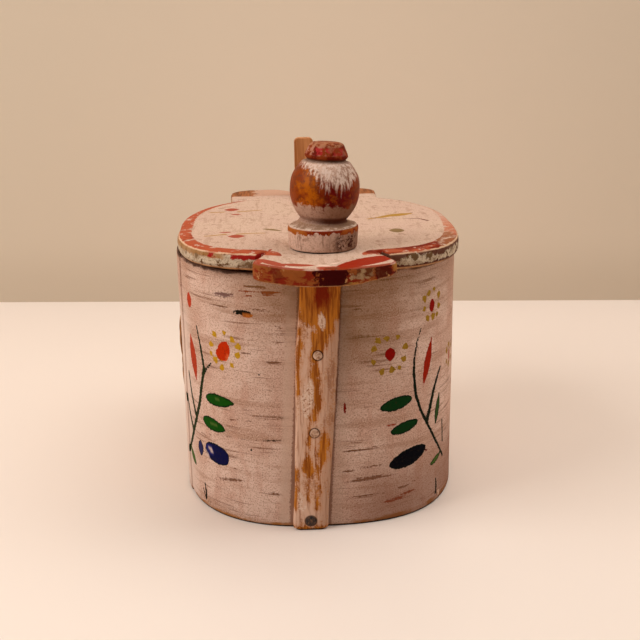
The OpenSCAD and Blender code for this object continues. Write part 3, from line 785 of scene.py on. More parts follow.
# %% [markdown]
# ## The tall post
# The far post is wide below and narrows above its shoulders to a slim blade. The lid's fork
# stands round the blade, and the lid's edge sits in a notch in the blade's inner face. The
# notch is cut with a wedge and a Boolean modifier.

# %% Shape the tall post
blade_low, blade_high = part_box("far_post")
blade_w, blade_t = 11 * mm, 8 * mm
far_x = -2 * mm
shoulder_z, blade_z = 102 * mm, 120 * mm
blade_r = 2.6 * mm
far_post = stave("far_post_stave", 100)


def whittle_far(place):
    share = (place.z + 1) / 2
    z = blade_high.z * math.sin(share * math.pi / 2) ** 0.9
    up = min(1, max(0, (z - shoulder_z) / (blade_z - shoulder_z)))
    foot = post_foot_w + (post_w - post_foot_w) * min(1, z / shoulder_z)
    width = blade_w + (foot - blade_w) * (1 + math.cos(math.pi * up)) / 2
    thick = post_foot_t + (blade_t - post_foot_t) * min(1, z / shoulder_z)
    if share < 0.012:
        width, thick = width - 0.9 * mm, thick - 0.4 * mm
    round_in = blade_r - math.sqrt(max(0, blade_r ** 2 - max(0, z - blade_high.z + blade_r) ** 2))
    width, thick = width - 2 * round_in, thick - 0.6 * round_in
    x = far_x + place.x * width / 2
    back = (1 - place.y) / 2
    y = band_half_y - 0.4 * mm * (z < band_height) + back * thick
    spot = Vector((x, y, z))
    wave = wavy(spot, 0.3 * mm, 25 * mm, 7)
    return spot + Vector((wave * place.x * 0.5, min(0, wave) * back, 0))


move_points(far_post, whittle_far)

# %% Cut the notch
lid_low, lid_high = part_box("lid_board")
lid_middle = (lid_low.z + lid_high.z) / 2
nose_y = 79.8 * mm
notch_tip = nose_y + 0.42 * mm
notch_mouth = notch_tip - band_half_y + mm
bpy.ops.mesh.primitive_cylinder_add(vertices=3, radius=1, depth=4 * blade_w)
wedge = bpy.context.object
corners = [(notch_tip, lid_middle),
           (notch_tip - notch_mouth, lid_middle + notch_mouth * math.tan(math.radians(70))),
           (notch_tip - notch_mouth, lid_middle - notch_mouth)]
turned = sorted({(round(v.co.x, 4), round(v.co.y, 4)) for v in wedge.data.vertices},
                key=lambda p: math.atan2(p[1], p[0]))
for vertex in wedge.data.vertices:
    corner = turned.index((round(vertex.co.x, 4), round(vertex.co.y, 4)))
    y, z = corners[corner]
    vertex.co = (far_x + vertex.co.z, y, z)
open_mesh(wedge)
bpy.ops.mesh.select_all(action="SELECT")
bpy.ops.mesh.normals_make_consistent(inside=False)
close_mesh()
apply_modifier(far_post, "BOOLEAN", operation="DIFFERENCE", object=wedge, solver="EXACT")
bpy.data.objects.remove(wedge)
finish_piece(far_post, "far_post_stave", "box", ["far_post"], angle=35)

# %% [markdown]
# ## Pegs and nails
# The pegs are whittled sticks driven through post and band, so their ends are not quite round.
# The nail heads were forged: low, with hammered facets. One of each is modelled, then copied to
# the places that the CAD nodes give.

# %% Whittle a peg
def upright_stick(name, sides, radius, length, rounding):
    """A stick along -Y with a softened outer end at y = 0 and slightly uneven sides."""
    bpy.ops.mesh.primitive_cylinder_add(vertices=sides, radius=radius, depth=length,
                                        location=(0, length / 2, 0), rotation=(math.radians(90), 0, 0))
    piece = bpy.context.object
    piece.name = name
    bpy.ops.object.transform_apply(location=True, rotation=True, scale=True)
    open_mesh(piece)
    pick(piece, "FACE", lambda f: middle(f).y < 0.01 * mm and f.normal.y < -0.9)
    bpy.ops.mesh.inset(thickness=radius * 0.45)
    bpy.ops.transform.translate(value=(0, -rounding * 0.5, 0))
    pick(piece, "EDGE", lambda e: abs(middle(e).y) < 0.01 * mm
         and abs(Vector((middle(e).x, 0, middle(e).z)).length - radius) < radius * 0.12)
    bpy.ops.mesh.bevel(offset=rounding, segments=2)
    close_mesh()
    move_points(piece, lambda p: p + Vector((wavy(p, 0.3 * mm, 2.4 * mm, 2), wavy(p, 0.12 * mm, 1.5 * mm, 4),
                                             wavy(p, 0.3 * mm, 2.4 * mm, 6))))
    return piece


peg = upright_stick("peg", 14, 2.1 * mm, 6.5 * mm, 0.35 * mm)
near_x_at = lambda z: foot_x + (top_x - foot_x) * z / band_height
near_t_at = lambda z: post_foot_t + (post_top_t - post_foot_t) * z / band_height
far_t_at = lambda z: post_foot_t + (blade_t - post_foot_t) * min(1, z / shoulder_z)


def copies_joined(model, places, name, body, replaced):
    """Copies a model to places, each with its own mesh, turned for the end it is at, and joins them."""
    copies = []
    for x, y, z in places:
        copy = model.copy()
        copy.data = model.data.copy()
        bpy.context.collection.objects.link(copy)
        facing = 1 if y < 0 else -1
        move_points(copy, lambda p: Vector((x + p.x * facing, y + p.y * facing, z + p.z)))
        copies.append(copy)
    only(copies[0])
    for copy in copies:
        copy.select_set(True)
    if len(copies) > 1:
        bpy.ops.object.join()
    return finish_piece(bpy.context.object, name, body, replaced, angle=30)


peg_heights = (88 * mm, 50 * mm)
near_pegs = copies_joined(peg, [(near_x_at(z), -band_half_y - near_t_at(z) - 0.35 * mm, z) for z in peg_heights],
                          "near_peg_ends", "box", ["near_post_pegs"])
far_pegs = copies_joined(peg, [(far_x, band_half_y + far_t_at(z) + 0.3 * mm, z) for z in peg_heights],
                         "far_peg_ends", "box", ["far_post_pegs"])
bpy.data.objects.remove(peg)

# %% Forge a nail
nail = upright_stick("nail", 9, 2.5 * mm, 1.4 * mm, 0.5 * mm)
nail_z = 5 * mm
near_nail = copies_joined(nail, [(near_x_at(nail_z), -band_half_y - post_foot_t - 0.75 * mm, nail_z)],
                          "near_nail_head", "box", ["near_post_nail"])
far_nail = copies_joined(nail, [(far_x, band_half_y + post_foot_t + 0.75 * mm, nail_z)],
                         "far_nail_head", "box", ["far_post_nail"])
bpy.data.objects.remove(nail)

# %% [markdown]
# ## The lid
# The lid is one board: an oval with a tongue at each end. The near tongue has two rounded ears
# behind saw nicks. The far tongue is forked round the tall post. Each form is drawn as an
# outline and extruded, the forms are united and cut with Boolean modifiers, and a voxel remesh
# gives even, slightly rounded wood that can carry the painting. Old boards warp: here the left
# front has risen a little off the band.

# %% Draw the outlines
lid_bottom, lid_top = 125.3 * mm, 133.5 * mm
lid_thick = lid_top - lid_bottom
lid_half_x, lid_near_y, lid_far_y = 69.2 * mm, 79.2 * mm, 80 * mm
lid_shift = Vector((0.5 * mm, 0, 0))


def lid_oval(turn):
    if math.sin(turn) < 0:
        return oval(lid_half_x, lid_near_y, 3.3, turn) + lid_shift
    return oval(lid_half_x, lid_far_y, 2.3, turn) + lid_shift


def arc(centre, radius, start, end, count=12):
    turns = [math.radians(start + (end - start) * i / count) for i in range(count + 1)]
    return [Vector((centre[0] + radius * math.cos(t), centre[1] + radius * math.sin(t), 0)) for t in turns]


def tongue_end(ears, reach, flat_r, ear_r):
    """Two rounded ears joined by a flat arc, pointing to -Y, in millimetres."""
    ear_x = ears / 2 - ear_r
    centre_y = flat_r - reach
    ear_y = centre_y - math.sqrt((flat_r - ear_r) ** 2 - ear_x ** 2)
    lean = math.degrees(math.atan2(ear_x, centre_y - ear_y))
    return (arc((-ear_x, ear_y), ear_r, 180, 270 - lean) + arc((0, centre_y), flat_r, 270 - lean, 270 + lean, 24)
            + arc((ear_x, ear_y), ear_r, 270 + lean, 360))


def metres(points):
    return [Vector((p[0] * mm, p[1] * mm, 0)) for p in points]


near_outline = metres(tongue_end(62, 104, 62, 7) + [Vector(p + (0,)) for p in
                      ((22.5, -67), (22.5, -47), (-22.5, -47), (-22.5, -67))])
far_outline = metres(tongue_end(87, 108, 260, 12) + [Vector(p + (0,)) for p in
                     ((42.5, -68.5), (29, -74), (29, -54), (-29, -54), (-29, -74), (-42.5, -68.5))])
far_outline = [Vector((-2.4 * mm + p.x, -p.y, 0)) for p in reversed(far_outline)]
print("outline points:", len(near_outline), len(far_outline))


# %% Cut the board
def slab(name, outline, bottom, top, top_arris, bottom_arris):
    """An outline extruded to a board, with its arrises taken off."""
    bpy.ops.mesh.primitive_circle_add(vertices=len(outline), fill_type="NGON")
    piece = bpy.context.object
    piece.name = name
    for vertex, place in zip(piece.data.vertices, outline):
        vertex.co = (place.x, place.y, bottom)
    open_mesh(piece)
    bpy.ops.mesh.select_all(action="SELECT")
    bpy.ops.mesh.extrude_region_move(TRANSFORM_OT_translate={"value": (0, 0, top - bottom)})
    bpy.ops.mesh.select_all(action="SELECT")
    bpy.ops.mesh.normals_make_consistent(inside=False)
    for height, size in ((top, top_arris), (bottom, bottom_arris)):
        if size:
            pick(piece, "EDGE", lambda e: all(abs(v.co.z - height) < 0.01 * mm for v in e.verts))
            bpy.ops.mesh.bevel(offset=size, segments=3)
    close_mesh()
    return piece


board = slab("lid_board_oval", [lid_oval(2 * math.pi * i / 220) for i in range(220)],
             lid_bottom, lid_top, 1.9 * mm, 2.2 * mm)
nick_points = ((22.5, -67), (22.5, -87), (35.5, -87))
for side in (-1, 1):
    nick = slab("nick", metres([(side * x, y) for x, y in nick_points]), lid_bottom - 5 * mm, lid_top + 5 * mm, 0, 0)
    apply_modifier(board, "BOOLEAN", operation="DIFFERENCE", object=nick, solver="EXACT")
    bpy.data.objects.remove(nick)
for name, outline in (("near_tongue", near_outline), ("far_tongue", far_outline)):
    tongue = slab(name, outline, lid_bottom, lid_top, 1.3 * mm, 1.2 * mm)
    if name == "near_tongue":
        thinning = slab("ear_thinning", metres([(10.9, 0), (32, -1), (32, 3)]), 81.8 * mm, 108.8 * mm, 0, 0)
        move_points(thinning, lambda p: Vector((p.x, -p.z, lid_bottom + p.y)))
        open_mesh(thinning)
        bpy.ops.mesh.select_all(action="SELECT")
        bpy.ops.mesh.normals_make_consistent(inside=False)
        close_mesh()
        apply_modifier(tongue, "BOOLEAN", operation="DIFFERENCE", object=thinning, solver="EXACT")
        bpy.data.objects.remove(thinning)
    apply_modifier(board, "BOOLEAN", operation="UNION", object=tongue, solver="EXACT")
    bpy.data.objects.remove(tongue)

# %% [markdown]
# The fork is a slot with a rounded mouth. The slot's end is bevelled from both faces to an edge,
# which is what sits in the notch of the tall post.

# %% Cut the fork
slot_half = blade_w / mm / 2 + 0.8
mouth_r = 18
mouth_y = 108 - mouth_r
fork_right = arc((slot_half + mouth_r, mouth_y), mouth_r, 180, 90, 14)
fork_outline = ([(slot_half, 79.8)] + [tuple(p[:2]) for p in fork_right] + [(slot_half + mouth_r, 118)]
                + [(-slot_half - mouth_r, 118)] + [(-p.x, p.y) for p in reversed(fork_right)] + [(-slot_half, 79.8)])
slot = slab("fork_slot", [Vector((far_x + x * mm, y * mm, 0)) for x, y in fork_outline],
            lid_bottom - 5 * mm, lid_top + 5 * mm, 0, 0)
apply_modifier(board, "BOOLEAN", operation="DIFFERENCE", object=slot, solver="EXACT")
bpy.data.objects.remove(slot)
for way in (1, -1):
    bevel_points = [(79.8, 0), (84, 0), (84, 9), (70.8, 9)]
    cutter = slab("nose_bevel", metres(bevel_points), -slot_half * mm, slot_half * mm, 0, 0)
    move_points(cutter, lambda p: Vector((far_x + p.z, p.x, lid_middle + way * p.y)))
    open_mesh(cutter)
    bpy.ops.mesh.select_all(action="SELECT")
    bpy.ops.mesh.normals_make_consistent(inside=False)
    close_mesh()
    apply_modifier(board, "BOOLEAN", operation="DIFFERENCE", object=cutter, solver="EXACT")
    bpy.data.objects.remove(cutter)

# %% Even out the wood
apply_modifier(board, "REMESH", mode="VOXEL", voxel_size=0.9 * mm)
apply_modifier(board, "SMOOTH", factor=0.5, iterations=3)


warp_height = 1.4 * mm


def smooth(value, low, high):
    share = min(1.0, max(0.0, (value - low) / (high - low)))
    return share * share * (3 - 2 * share)


def age_lid(place):
    lift = max(0, wavy(Vector((place.x, place.y, 0)), 0.25 * mm, 50 * mm, 9))
    lift += warp_height * smooth(place.x, -8 * mm, -32 * mm) * smooth(place.y, -5 * mm, -45 * mm)
    return place + Vector((wavy(place, 0.25 * mm, 18 * mm, 1), wavy(place, 0.25 * mm, 18 * mm, 2), lift))


move_points(board, age_lid)
finish_piece(board, "lid_painted", "lid", ["lid_board"], angle=50)


# %% [markdown]
# The red stripe and the worn arris follow the lid's edge, tongues and all. So each vertex gets
# its distance from the outline of the whole board: the oval and the tongues, without the parts
# of these outlines that lie inside another one.

# %% Measure the distance from the lid's edge
def dense(outline, closed=True, step=0.6 * mm):
    points = []
    ends = outline[1:] + outline[:1] if closed else outline[1:]
    for a, b in zip(outline, ends):
        count = max(1, round((b - a).length / step))
        points += [a.lerp(b, i / count) for i in range(count)]
    return np.array([p[:2] for p in points])


def inside_shape(points, outline):
    """For each point, whether it lies inside a closed outline."""
    crossed = np.zeros(len(points), bool)
    for a, b in zip(outline, outline[1:] + outline[:1]):
        spans = (a.y > points[:, 1]) != (b.y > points[:, 1])
        slope = (b.x - a.x) / ((b.y - a.y) or 1e-12)
        crossed ^= spans & (points[:, 0] < a.x + slope * (points[:, 1] - a.y))
    return crossed


oval_outline = [lid_oval(2 * math.pi * i / 220) for i in range(220)]
slot_outline = [Vector((far_x + x * mm, y * mm, 0)) for x, y in fork_outline]
edges = []
for own, others in ((oval_outline, (near_outline, far_outline)), (near_outline, (oval_outline,)),
                    (far_outline, (oval_outline, slot_outline))):
    points = dense(own)
    hidden = np.zeros(len(points), bool)
    for other in others:
        hidden |= inside_shape(points, other)
    edges.append(points[~hidden])
slot_points = dense(slot_outline)
edges.append(slot_points[inside_shape(slot_points, far_outline)])
edges = np.concatenate(edges)

lid_points = np.array([v.co[:] for v in board.data.vertices])
edge_gap = np.empty(len(lid_points))
for first in range(0, len(lid_points), 4000):
    part = lid_points[first:first + 4000, None, :2] - edges[None]
    edge_gap[first:first + 4000] = np.sqrt((part ** 2).sum(2).min(1))
board.data.attributes.new("edge_gap", "FLOAT", "POINT").data.foreach_set("value", edge_gap / mm)
print("lid vertices:", len(lid_points), "widest gap, mm:", round(edge_gap.max() / mm, 1))

# %% [markdown]
# The lid's upper side has a few painted marks: two red lozenges with strokes beside them, and an
# ochre stroke on the right. They are strokes like those of the sprays.

# %% Paint the lid's marks
ochre = colour(172, 126, 50)
olive = colour(134, 104, 64)
lid_red = colour(164, 72, 50)
ear_red = colour(150, 38, 14)
crack = colour(110, 58, 34)
fleck = colour(226, 190, 168)
lid_marks = [
    (petal((-48.2, 39.4), (-39.6, 39.4), 8.5, 0.9), lid_red),
    (petal((-43.4, -39.3), (-34.9, -39.3), 9.0, 0.9), lid_red),
    (petal((-44.2, 25.2), (-38.2, 24.6), 3.6, 0.8), lid_red),
    (petal((-48.0, -27.3), (-41.2, -27.8), 3.2, 0.8), lid_red),
    (stem([(-54.3, -37.6), (-45.0, -33.6)], 1.6, 2.6), ochre),
    (stem([(-38.6, -33.2), (-26, -31.0)], 2.4, 1.6), ochre),
    (stem([(-55.4, 32.0), (-48.0, 32.8)], 1.6, 1.8), ochre),
    (stem([(-39.6, 33.0), (-27.1, 36.2)], 2.2, 1.6), ochre),
    (petal((-27.6, -16.6), (-16.6, -24.2), 4.2, 0.8), olive),
    (petal((33, 7.4), (53.0, 16.0), 6.4, 0.7, 1.3), ochre),
    (petal((26, 2), (44, 11.0), 3.0, 0.8), ochre),
    (petal((35.4, -28.5), (42.8, -28.5), 10, 0.6), olive),
    (stem([(22, 8.6), (29, 7.6), (33, 3.2), (46, 2.4)], 1.0, 0.9), crack),
    (stem([(46, 2.4), (54.3, 0.9), (57.9, -5.4)], 1.0, 1.9), crack),
    (petal((4, -103), (32.2, -81.5), 11.5, 0.6, 1.0), ear_red),
    (petal((-19.5, -95.5), (-4.5, -97), 5.0, 0.7), lid_red),
    (petal((-29, -88), (-17.5, -99.4), 6.4, 0.6), lid_red),
    (petal((-19.4, -100.6), (-9, -101.4), 1.6, 0.6), fleck),
    (petal((-4.5, -101.6), (5.5, -101.2), 4.2, 0.6), lid_red),
    (petal((-4.2, -96.4), (2.6, -99.4), 2.8, 0.6), fleck),
    (petal((1.6, -96), (6.6, -93), 2.0, 0.6), fleck),
    (petal((-1.4, -102.4), (7.8, -103), 1.8, 0.6), crack),
    (stem([(-22.8, -68), (-26.5, -78), (-29.6, -88), (-28, -95)], 1.3, 2.2), lid_red),
    (stem([(22.8, -68), (27, -78), (30.4, -87)], 1.0, 1.4), lid_red),
]
on_top = lid_points[:, 2] > lid_middle
keep_strokes(board.data, np.where(on_top[:, None], lid_points[:, :2] / mm, -900), lid_marks)

# %% [markdown]
# ## The knob
# The knob was turned on a lathe, so it is turned here too: a half outline is spun round its
# axis. A circle of vertices is opened and laid along the outline. The ball and the cap lean a
# little to the right of the disc, so they are tipped after turning. The upright shape is kept on
# the mesh first, because the finish follows the lathe's axis.

# %% Turn the knob
disc_r, disc_h, ball_r, ball_h, cap_h = 16, 10.8, 15.8, 25.2, 7.4
neck_share, groove_share = 0.67, 0.68
tenon_foot = -12.2
neck_z = disc_h + 3
belly_z = neck_z + ball_h * 0.535
cap_z = neck_z + ball_h + 1.2
low_h = (belly_z - neck_z) / math.sin(math.acos(neck_share))
high_h = (neck_z + ball_h - belly_z) / math.sin(math.acos(groove_share))
knob_line = [(0, tenon_foot), (5.8, tenon_foot), (6.5, tenon_foot + 0.7), (6.5, 0.05), (14.6, 0), (15.3, 0.6),
             (15.6, 2.0), (15.8, 6.0), (16.0, 9.0), (15.9, 9.8), (15.3, 10.6), (14.5, 10.85), (12.8, 11.2),
             (11.6, 11.8), (10.9, 12.6), (10.4, 13.3)]
for i in range(15):
    turn = -math.acos(neck_share) * (1 - i / 14)
    knob_line.append((ball_r * math.cos(turn), belly_z + low_h * math.sin(turn)))
for i in range(1, 14):
    turn = math.acos(groove_share) * i / 13
    knob_line.append((ball_r * math.cos(turn), belly_z + high_h * math.sin(turn)))
knob_line += [(9.9, cap_z - 1.0), (9.2, cap_z - 0.7), (8.5, cap_z - 0.2), (8.9, cap_z + 0.3), (9.5, cap_z + 0.9),
              (9.7, cap_z + 1.5), (9.5, cap_z + 2.3), (8.6, cap_z + 4.2), (7.7, cap_z + 6.0), (7.2, cap_z + 6.7),
              (6.4, cap_z + 7.1), (4.5, cap_z + 7.3), (0, cap_z + 7.35)]

bpy.ops.mesh.primitive_circle_add(vertices=len(knob_line))
knob = bpy.context.object
for vertex, (radius, height) in zip(knob.data.vertices, knob_line):
    vertex.co = (radius * mm, 0, height * mm)
open_mesh(knob)
pick(knob, "EDGE", lambda e: all(abs(v.co.x) < 0.001 * mm for v in e.verts))
bpy.ops.mesh.delete(type="EDGE")
bpy.ops.mesh.select_all(action="SELECT")
bpy.ops.mesh.spin(steps=120, angle=2 * math.pi, center=(0, 0, 0), axis=(0, 0, 1))
bpy.ops.mesh.select_all(action="SELECT")
bpy.ops.mesh.remove_doubles(threshold=0.01 * mm)
close_mesh()
move_points(knob, lambda p: p + Vector((p.x, p.y, 0)).normalized() * (wavy(p, 0.22 * mm, 5 * mm, 3) * (p.z > 0.3 * mm)))
upright = np.array([v.co[:] for v in knob.data.vertices])
knob.data.attributes.new("lathe", "FLOAT_VECTOR", "POINT").data.foreach_set("vector", upright.ravel())

knob_foot = Vector((mm, -61.5 * mm, lid_top + 0.05 * mm))
lean_from = Vector((0, 0, disc_h * mm))


def lean_knob(place):
    share = min(1, max(0, (place.z - lean_from.z) / (1.5 * mm)))
    tipped = Matrix.Rotation(math.radians(3.6) * share, 3, "Y") @ (place - lean_from)
    return knob_foot + lean_from + tipped


move_points(knob, lean_knob)
finish_piece(knob, "knob_turned", "lid", ["knob"], angle=50)


# %% [markdown]
# ## Milk paint on the band
# The band was painted a pale dusty pink, thinly, so the grain shows as brown streaks that run
# along the strip. At the foot the paint has rubbed off to orange wood. Under the lid the band
# darkens, partly with grime and partly with painted shadow, and a near-black line of painted
# shadow runs along the gap at its top edge.

# %% Mix the band's finish
milk = colour(199, 159, 138)
milk_light = colour(218, 182, 162)
milk_dusty = colour(164, 121, 96)
milk_rosy = colour(182, 128, 104)
sand = colour(130, 90, 64)
grain_and_shadow_brown = colour(112, 70, 48)
worn_wood = colour(158, 98, 44)
grime_and_lid_shadow = colour(114, 72, 12)

mix = Recipe("band_milk_paint", 0.7, 0.04)
strip = mix.kept("strip", "Vector")
along, height = mix.axis(strip, "X"), mix.axis(strip, "Y")
blotches = mix.clouds(strip, 28, 4, 0.6)
paint = mix.over(mix.between(blotches, 0.42, 0.6), milk, milk_light)
patches = mix.clouds(mix.stretch(strip, 1, 0.3, 1), 110, 3, 0.6)
paint = mix.over(mix.between(patches, 0.5, 0.62, 0, 0.35), paint, milk_rosy)
bands = mix.clouds(mix.stretch(strip, 0.10, 1, 1), 150, 3, 0.6)
paint = mix.over(mix.between(bands, 0.5, 0.66, 0, 0.6), paint, milk_dusty)
lines = mix.clouds(mix.stretch(strip, 0.05, 1, 1), 560, 3, 0.65)
broken = mix.clouds(mix.stretch(strip, 0.3, 1, 1), 70, 3, 0.6)
streaks = mix.both(mix.between(lines, 0.54, 0.64), mix.between(broken, 0.45, 0.58))
paint = mix.over(mix.both(streaks, 0.72), paint, grain_and_shadow_brown)
specks = mix.clouds(strip, 1500, 2, 0.6)
sandy = mix.clouds(strip, 720, 3, 0.7)
paint = mix.over(mix.between(sandy, 0.53, 0.64, 0, 0.5), paint, milk_dusty)
paint = mix.over(mix.between(specks, 0.52, 0.66, 0, 0.65), paint, sand)
paint = mix.over(mix.between(specks, 0.46, 0.34, 0, 0.6), paint, milk_light)

grain_edge = mix.sums("ADD", mix.kept("grain_depth"), mix.sums("MULTIPLY_ADD", lines, 4.0, -2.2))
grain_edge = mix.sums("ADD", grain_edge, mix.sums("MULTIPLY_ADD", sandy, 2.4, -1.2))
paint = mix.over(mix.between(grain_edge, -0.1, 0.45, 0, 0.92), paint, mix.kept("grain_colour", "Color"))

beside = mix.sums("ABSOLUTE", mix.sums("SUBTRACT", along, mix.sums("MULTIPLY_ADD", height, 0.0536, -0.008)))
beside = mix.sums("MULTIPLY_ADD", mix.sums("SUBTRACT", sandy, 0.5), 0.003, beside)
left_half = mix.between(along, 0.004, -0.004, 0.3, 0.7)
paint = mix.over(mix.both(mix.between(beside, 0.0165, 0.0135), left_half), paint, colour(198, 164, 142))
# Painted shadow: a thin dark line on the band along both edges of the short post.
paint = mix.over(mix.both(mix.between(beside, 0.0104, 0.0096), 0.7), paint, grain_and_shadow_brown)

# Painted light: the band's left end is made paler and less warm, as light falling on that side.
painted_light_left_end = mix.both(mix.between(along, -0.070, -0.088, 0, 0.75), mix.between(along, -0.130, -0.105))
paint = mix.over(mix.both(painted_light_left_end, mix.between(height, 0.115, 0.09)), paint, colour(216, 188, 170))

ragged = mix.clouds(mix.stretch(strip, 0.35, 1, 1), 260, 4, 0.65)
foot_wear = mix.sums("MULTIPLY_ADD", ragged, 0.006, mix.sums("MULTIPLY", height, -1))
foot_wear = mix.between(mix.sums("MULTIPLY_ADD", mix.between(along, 0.01, 0.03), 0.001, foot_wear), 0.0005, 0.0018)
worn_places = mix.between(mix.clouds(mix.stretch(strip, 1, 0.2, 1), 50, 3, 0.6), 0.42, 0.54, 0.25, 0.95)
paint = mix.over(mix.both(foot_wear, worn_places), paint, worn_wood)
# Under the lid the band darkens towards its top and beside the post on the right: partly grime, partly painted shadow
# of the lid and its tongue.
lid_shadow_and_high_grime = mix.between(mix.sums("MULTIPLY_ADD", ragged, 0.03, height), 0.100, 0.142, 0, 0.85)
near_middle = mix.both(mix.between(along, -0.06, -0.012, 0.1, 0.75), mix.between(along, 0.075, 0.02, 0.35, 1.0))
lid_shadow_and_high_grime = mix.both(lid_shadow_and_high_grime, near_middle)
lid_shadow_and_right_grime = mix.both(mix.between(along, 0.0, 0.01), mix.between(along, 0.05, 0.012, 0, 0.58))
lid_shadow_and_high_grime = mix.either(lid_shadow_and_high_grime, mix.both(lid_shadow_and_right_grime, mix.between(height, 0.062, 0.1)))
low_grime = mix.both(mix.between(height, 0.048, 0.008, 0, 0.6), mix.between(along, 0.0, 0.03, 0.1, 1.0))
paint = mix.over(low_grime, paint, colour(114, 66, 42))
smudge = mix.between(mix.clouds(mix.stretch(strip, 0.6, 1, 1), 62, 4, 0.65), 0.48, 0.62)
smudge = mix.both(mix.both(smudge, near_middle), mix.between(height, 0.086, 0.102, 0, 0.35))
# Lays on the darkening under the lid, grime and painted lid shadow together.
paint = mix.over(lid_shadow_and_high_grime, paint, grime_and_lid_shadow)
paint = mix.over(smudge, paint, colour(104, 66, 22))
depth = mix.sums("ADD", mix.kept("paint_depth"), mix.sums("MULTIPLY_ADD", sandy, 1.7, -0.8))
brushed = mix.between(depth, -0.1, 0.12)
stroke_paint = mix.kept("paint_colour", "Color")
leaf_or_blue = mix.between(mix.axis(mix.kept("paint_colour", "Vector"), "X"), 0.12, 0.06)
outline = mix.both(leaf_or_blue, mix.between(depth, 1.1, 0.3, 0, 0.75))
stroke_paint = mix.over(outline, stroke_paint, colour(6, 16, 6))
stroke_paint = mix.over(mix.between(sandy, 0.54, 0.64, 0, 0.4), stroke_paint, colour(44, 30, 14))
paint = mix.over(brushed, paint, stroke_paint)

# Painted shadow of the gap under the lid: a near-black line along the band's top edge, over its rubbed rim.
gap_shadow_and_rim_wear = mix.between(mix.sums("MULTIPLY_ADD", ragged, 0.006, height), 0.1262, 0.1278)
paint = mix.over(mix.both(gap_shadow_and_rim_wear, 0.9), paint, colour(52, 24, 12))
# Painted contact shadow: the lowest millimetre or two of the band darkens almost to black where it meets the table.
painted_foot_shadow = mix.between(mix.sums("MULTIPLY_ADD", ragged, 0.0012, height), 0.0018, 0.0011, 0, 0.92)
paint = mix.over(painted_foot_shadow, paint, colour(22, 9, 3))
bare_inside = mix.over(mix.between(lines, 0.42, 0.6), colour(178, 128, 84), colour(134, 90, 54))
paint = mix.over(mix.between(mix.axis(strip, "Z"), 0.01, 0.04), paint, bare_inside)
relief = mix.sums("ADD", mix.both(mix.between(grain_edge, 0, 0.6), -0.8), mix.sums("ADD", mix.both(specks, 0.5), lines))
mix.finish(paint, relief, 0.14, mix.between(blotches, 0.3, 0.7, 0.75, 0.6))
band.data.materials.append(mix.material)
print("band finish nodes:", len(mix.tree.nodes))

# %% [markdown]
# ## The lid's paint
# The lid has the same pale paint with a red stripe inside its arris. The arris itself is rubbed
# to a thin dark line along the front, with a painted highlight as a light line just inside it;
# its side is crusty grey-white over dark wood, and the tongues' sides are handled down to warm
# brown wood.

# %% Mix the lid's finish
cream = colour(206, 170, 148)
cream_light = colour(208, 174, 150)
cream_dusty = colour(168, 128, 102)
stripe_red = colour(174, 78, 46)
stripe_dark = colour(124, 32, 10)
crust = colour(196, 172, 144)
crust_dark = colour(104, 74, 46)
side_wood = colour(142, 74, 30)
maroon = colour(58, 2, 0)

mix = Recipe("lid_milk_paint", 0.6, 0.05)
spot = mix.place()
facing_up = mix.axis(mix.add("TexCoord", {}, "Normal"), "Z")
x, y, z = (mix.axis(spot, name) for name in "XYZ")
warp = mix.both(mix.between(x, -0.008, -0.032), mix.between(y, -0.005, -0.045, 0, warp_height))
z = mix.sums("SUBTRACT", z, warp)
blotches = mix.clouds(spot, 32, 4, 0.6)
specks = mix.clouds(spot, 1400, 2, 0.6)
ragged = mix.clouds(spot, 260, 4, 0.65)
coarse = mix.clouds(spot, 90, 4, 0.6)
paint = mix.over(mix.between(blotches, 0.42, 0.6), cream, cream_light)
scratches = mix.clouds(mix.stretch(spot, 1, 0.12, 1), 420, 3, 0.6)
paint = mix.over(mix.between(scratches, 0.53, 0.66, 0, 0.4), paint, cream_dusty)
paint = mix.over(mix.between(specks, 0.52, 0.66, 0, 0.7), paint, cream_dusty)
paint = mix.over(mix.both(mix.between(ragged, 0.56, 0.66), 0.55), paint, colour(150, 106, 80))
paint = mix.over(mix.between(specks, 0.46, 0.36, 0, 0.4), paint, cream_light)
depth = mix.sums("ADD", mix.kept("paint_depth"), mix.sums("MULTIPLY_ADD", ragged, 1.6, -0.8))
paint = mix.over(mix.between(depth, -0.1, 0.3), paint, mix.kept("paint_colour", "Color"))

gap = mix.sums("ADD", mix.kept("edge_gap"), mix.sums("MULTIPLY_ADD", ragged, 2.2, -1.1))
slant = mix.sums("MULTIPLY_ADD", mix.sums("MAXIMUM", mix.sums("MULTIPLY", y, -1), 0), 629, -19)
inner = mix.sums("MULTIPLY_ADD", x, slant, mix.sums("MULTIPLY_ADD", y, -40, 5.6))
stripe = mix.both(mix.between(gap, 0.1, 0.4), mix.between(mix.sums("SUBTRACT", inner, gap), -0.2, 0.3))
round_edge = mix.both(mix.between(y, -0.0815, -0.0795), mix.between(y, 0.068, 0.066))
stripe = mix.both(stripe, round_edge)
stripe_hold = mix.between(mix.clouds(spot, 170, 5, 0.7), 0.38, 0.44)
stripe_paint = mix.over(mix.between(mix.sums("MULTIPLY_ADD", x, 2, coarse), 0.45, 0.62), stripe_red, stripe_dark)
salmon_part = mix.both(mix.between(x, 0.052, 0.058), mix.between(y, -0.048, -0.036))
salmon = mix.over(mix.between(ragged, 0.48, 0.58), colour(184, 100, 66), colour(196, 128, 98))
stripe_paint = mix.over(salmon_part, stripe_paint, salmon)
fading = mix.both(salmon_part, mix.between(y, -0.03, 0.03, 0.1, 0.75))
stripe_hold = mix.both(stripe_hold, mix.sums("SUBTRACT", 1.0, fading))
paint = mix.over(mix.both(stripe, stripe_hold), paint, stripe_paint)
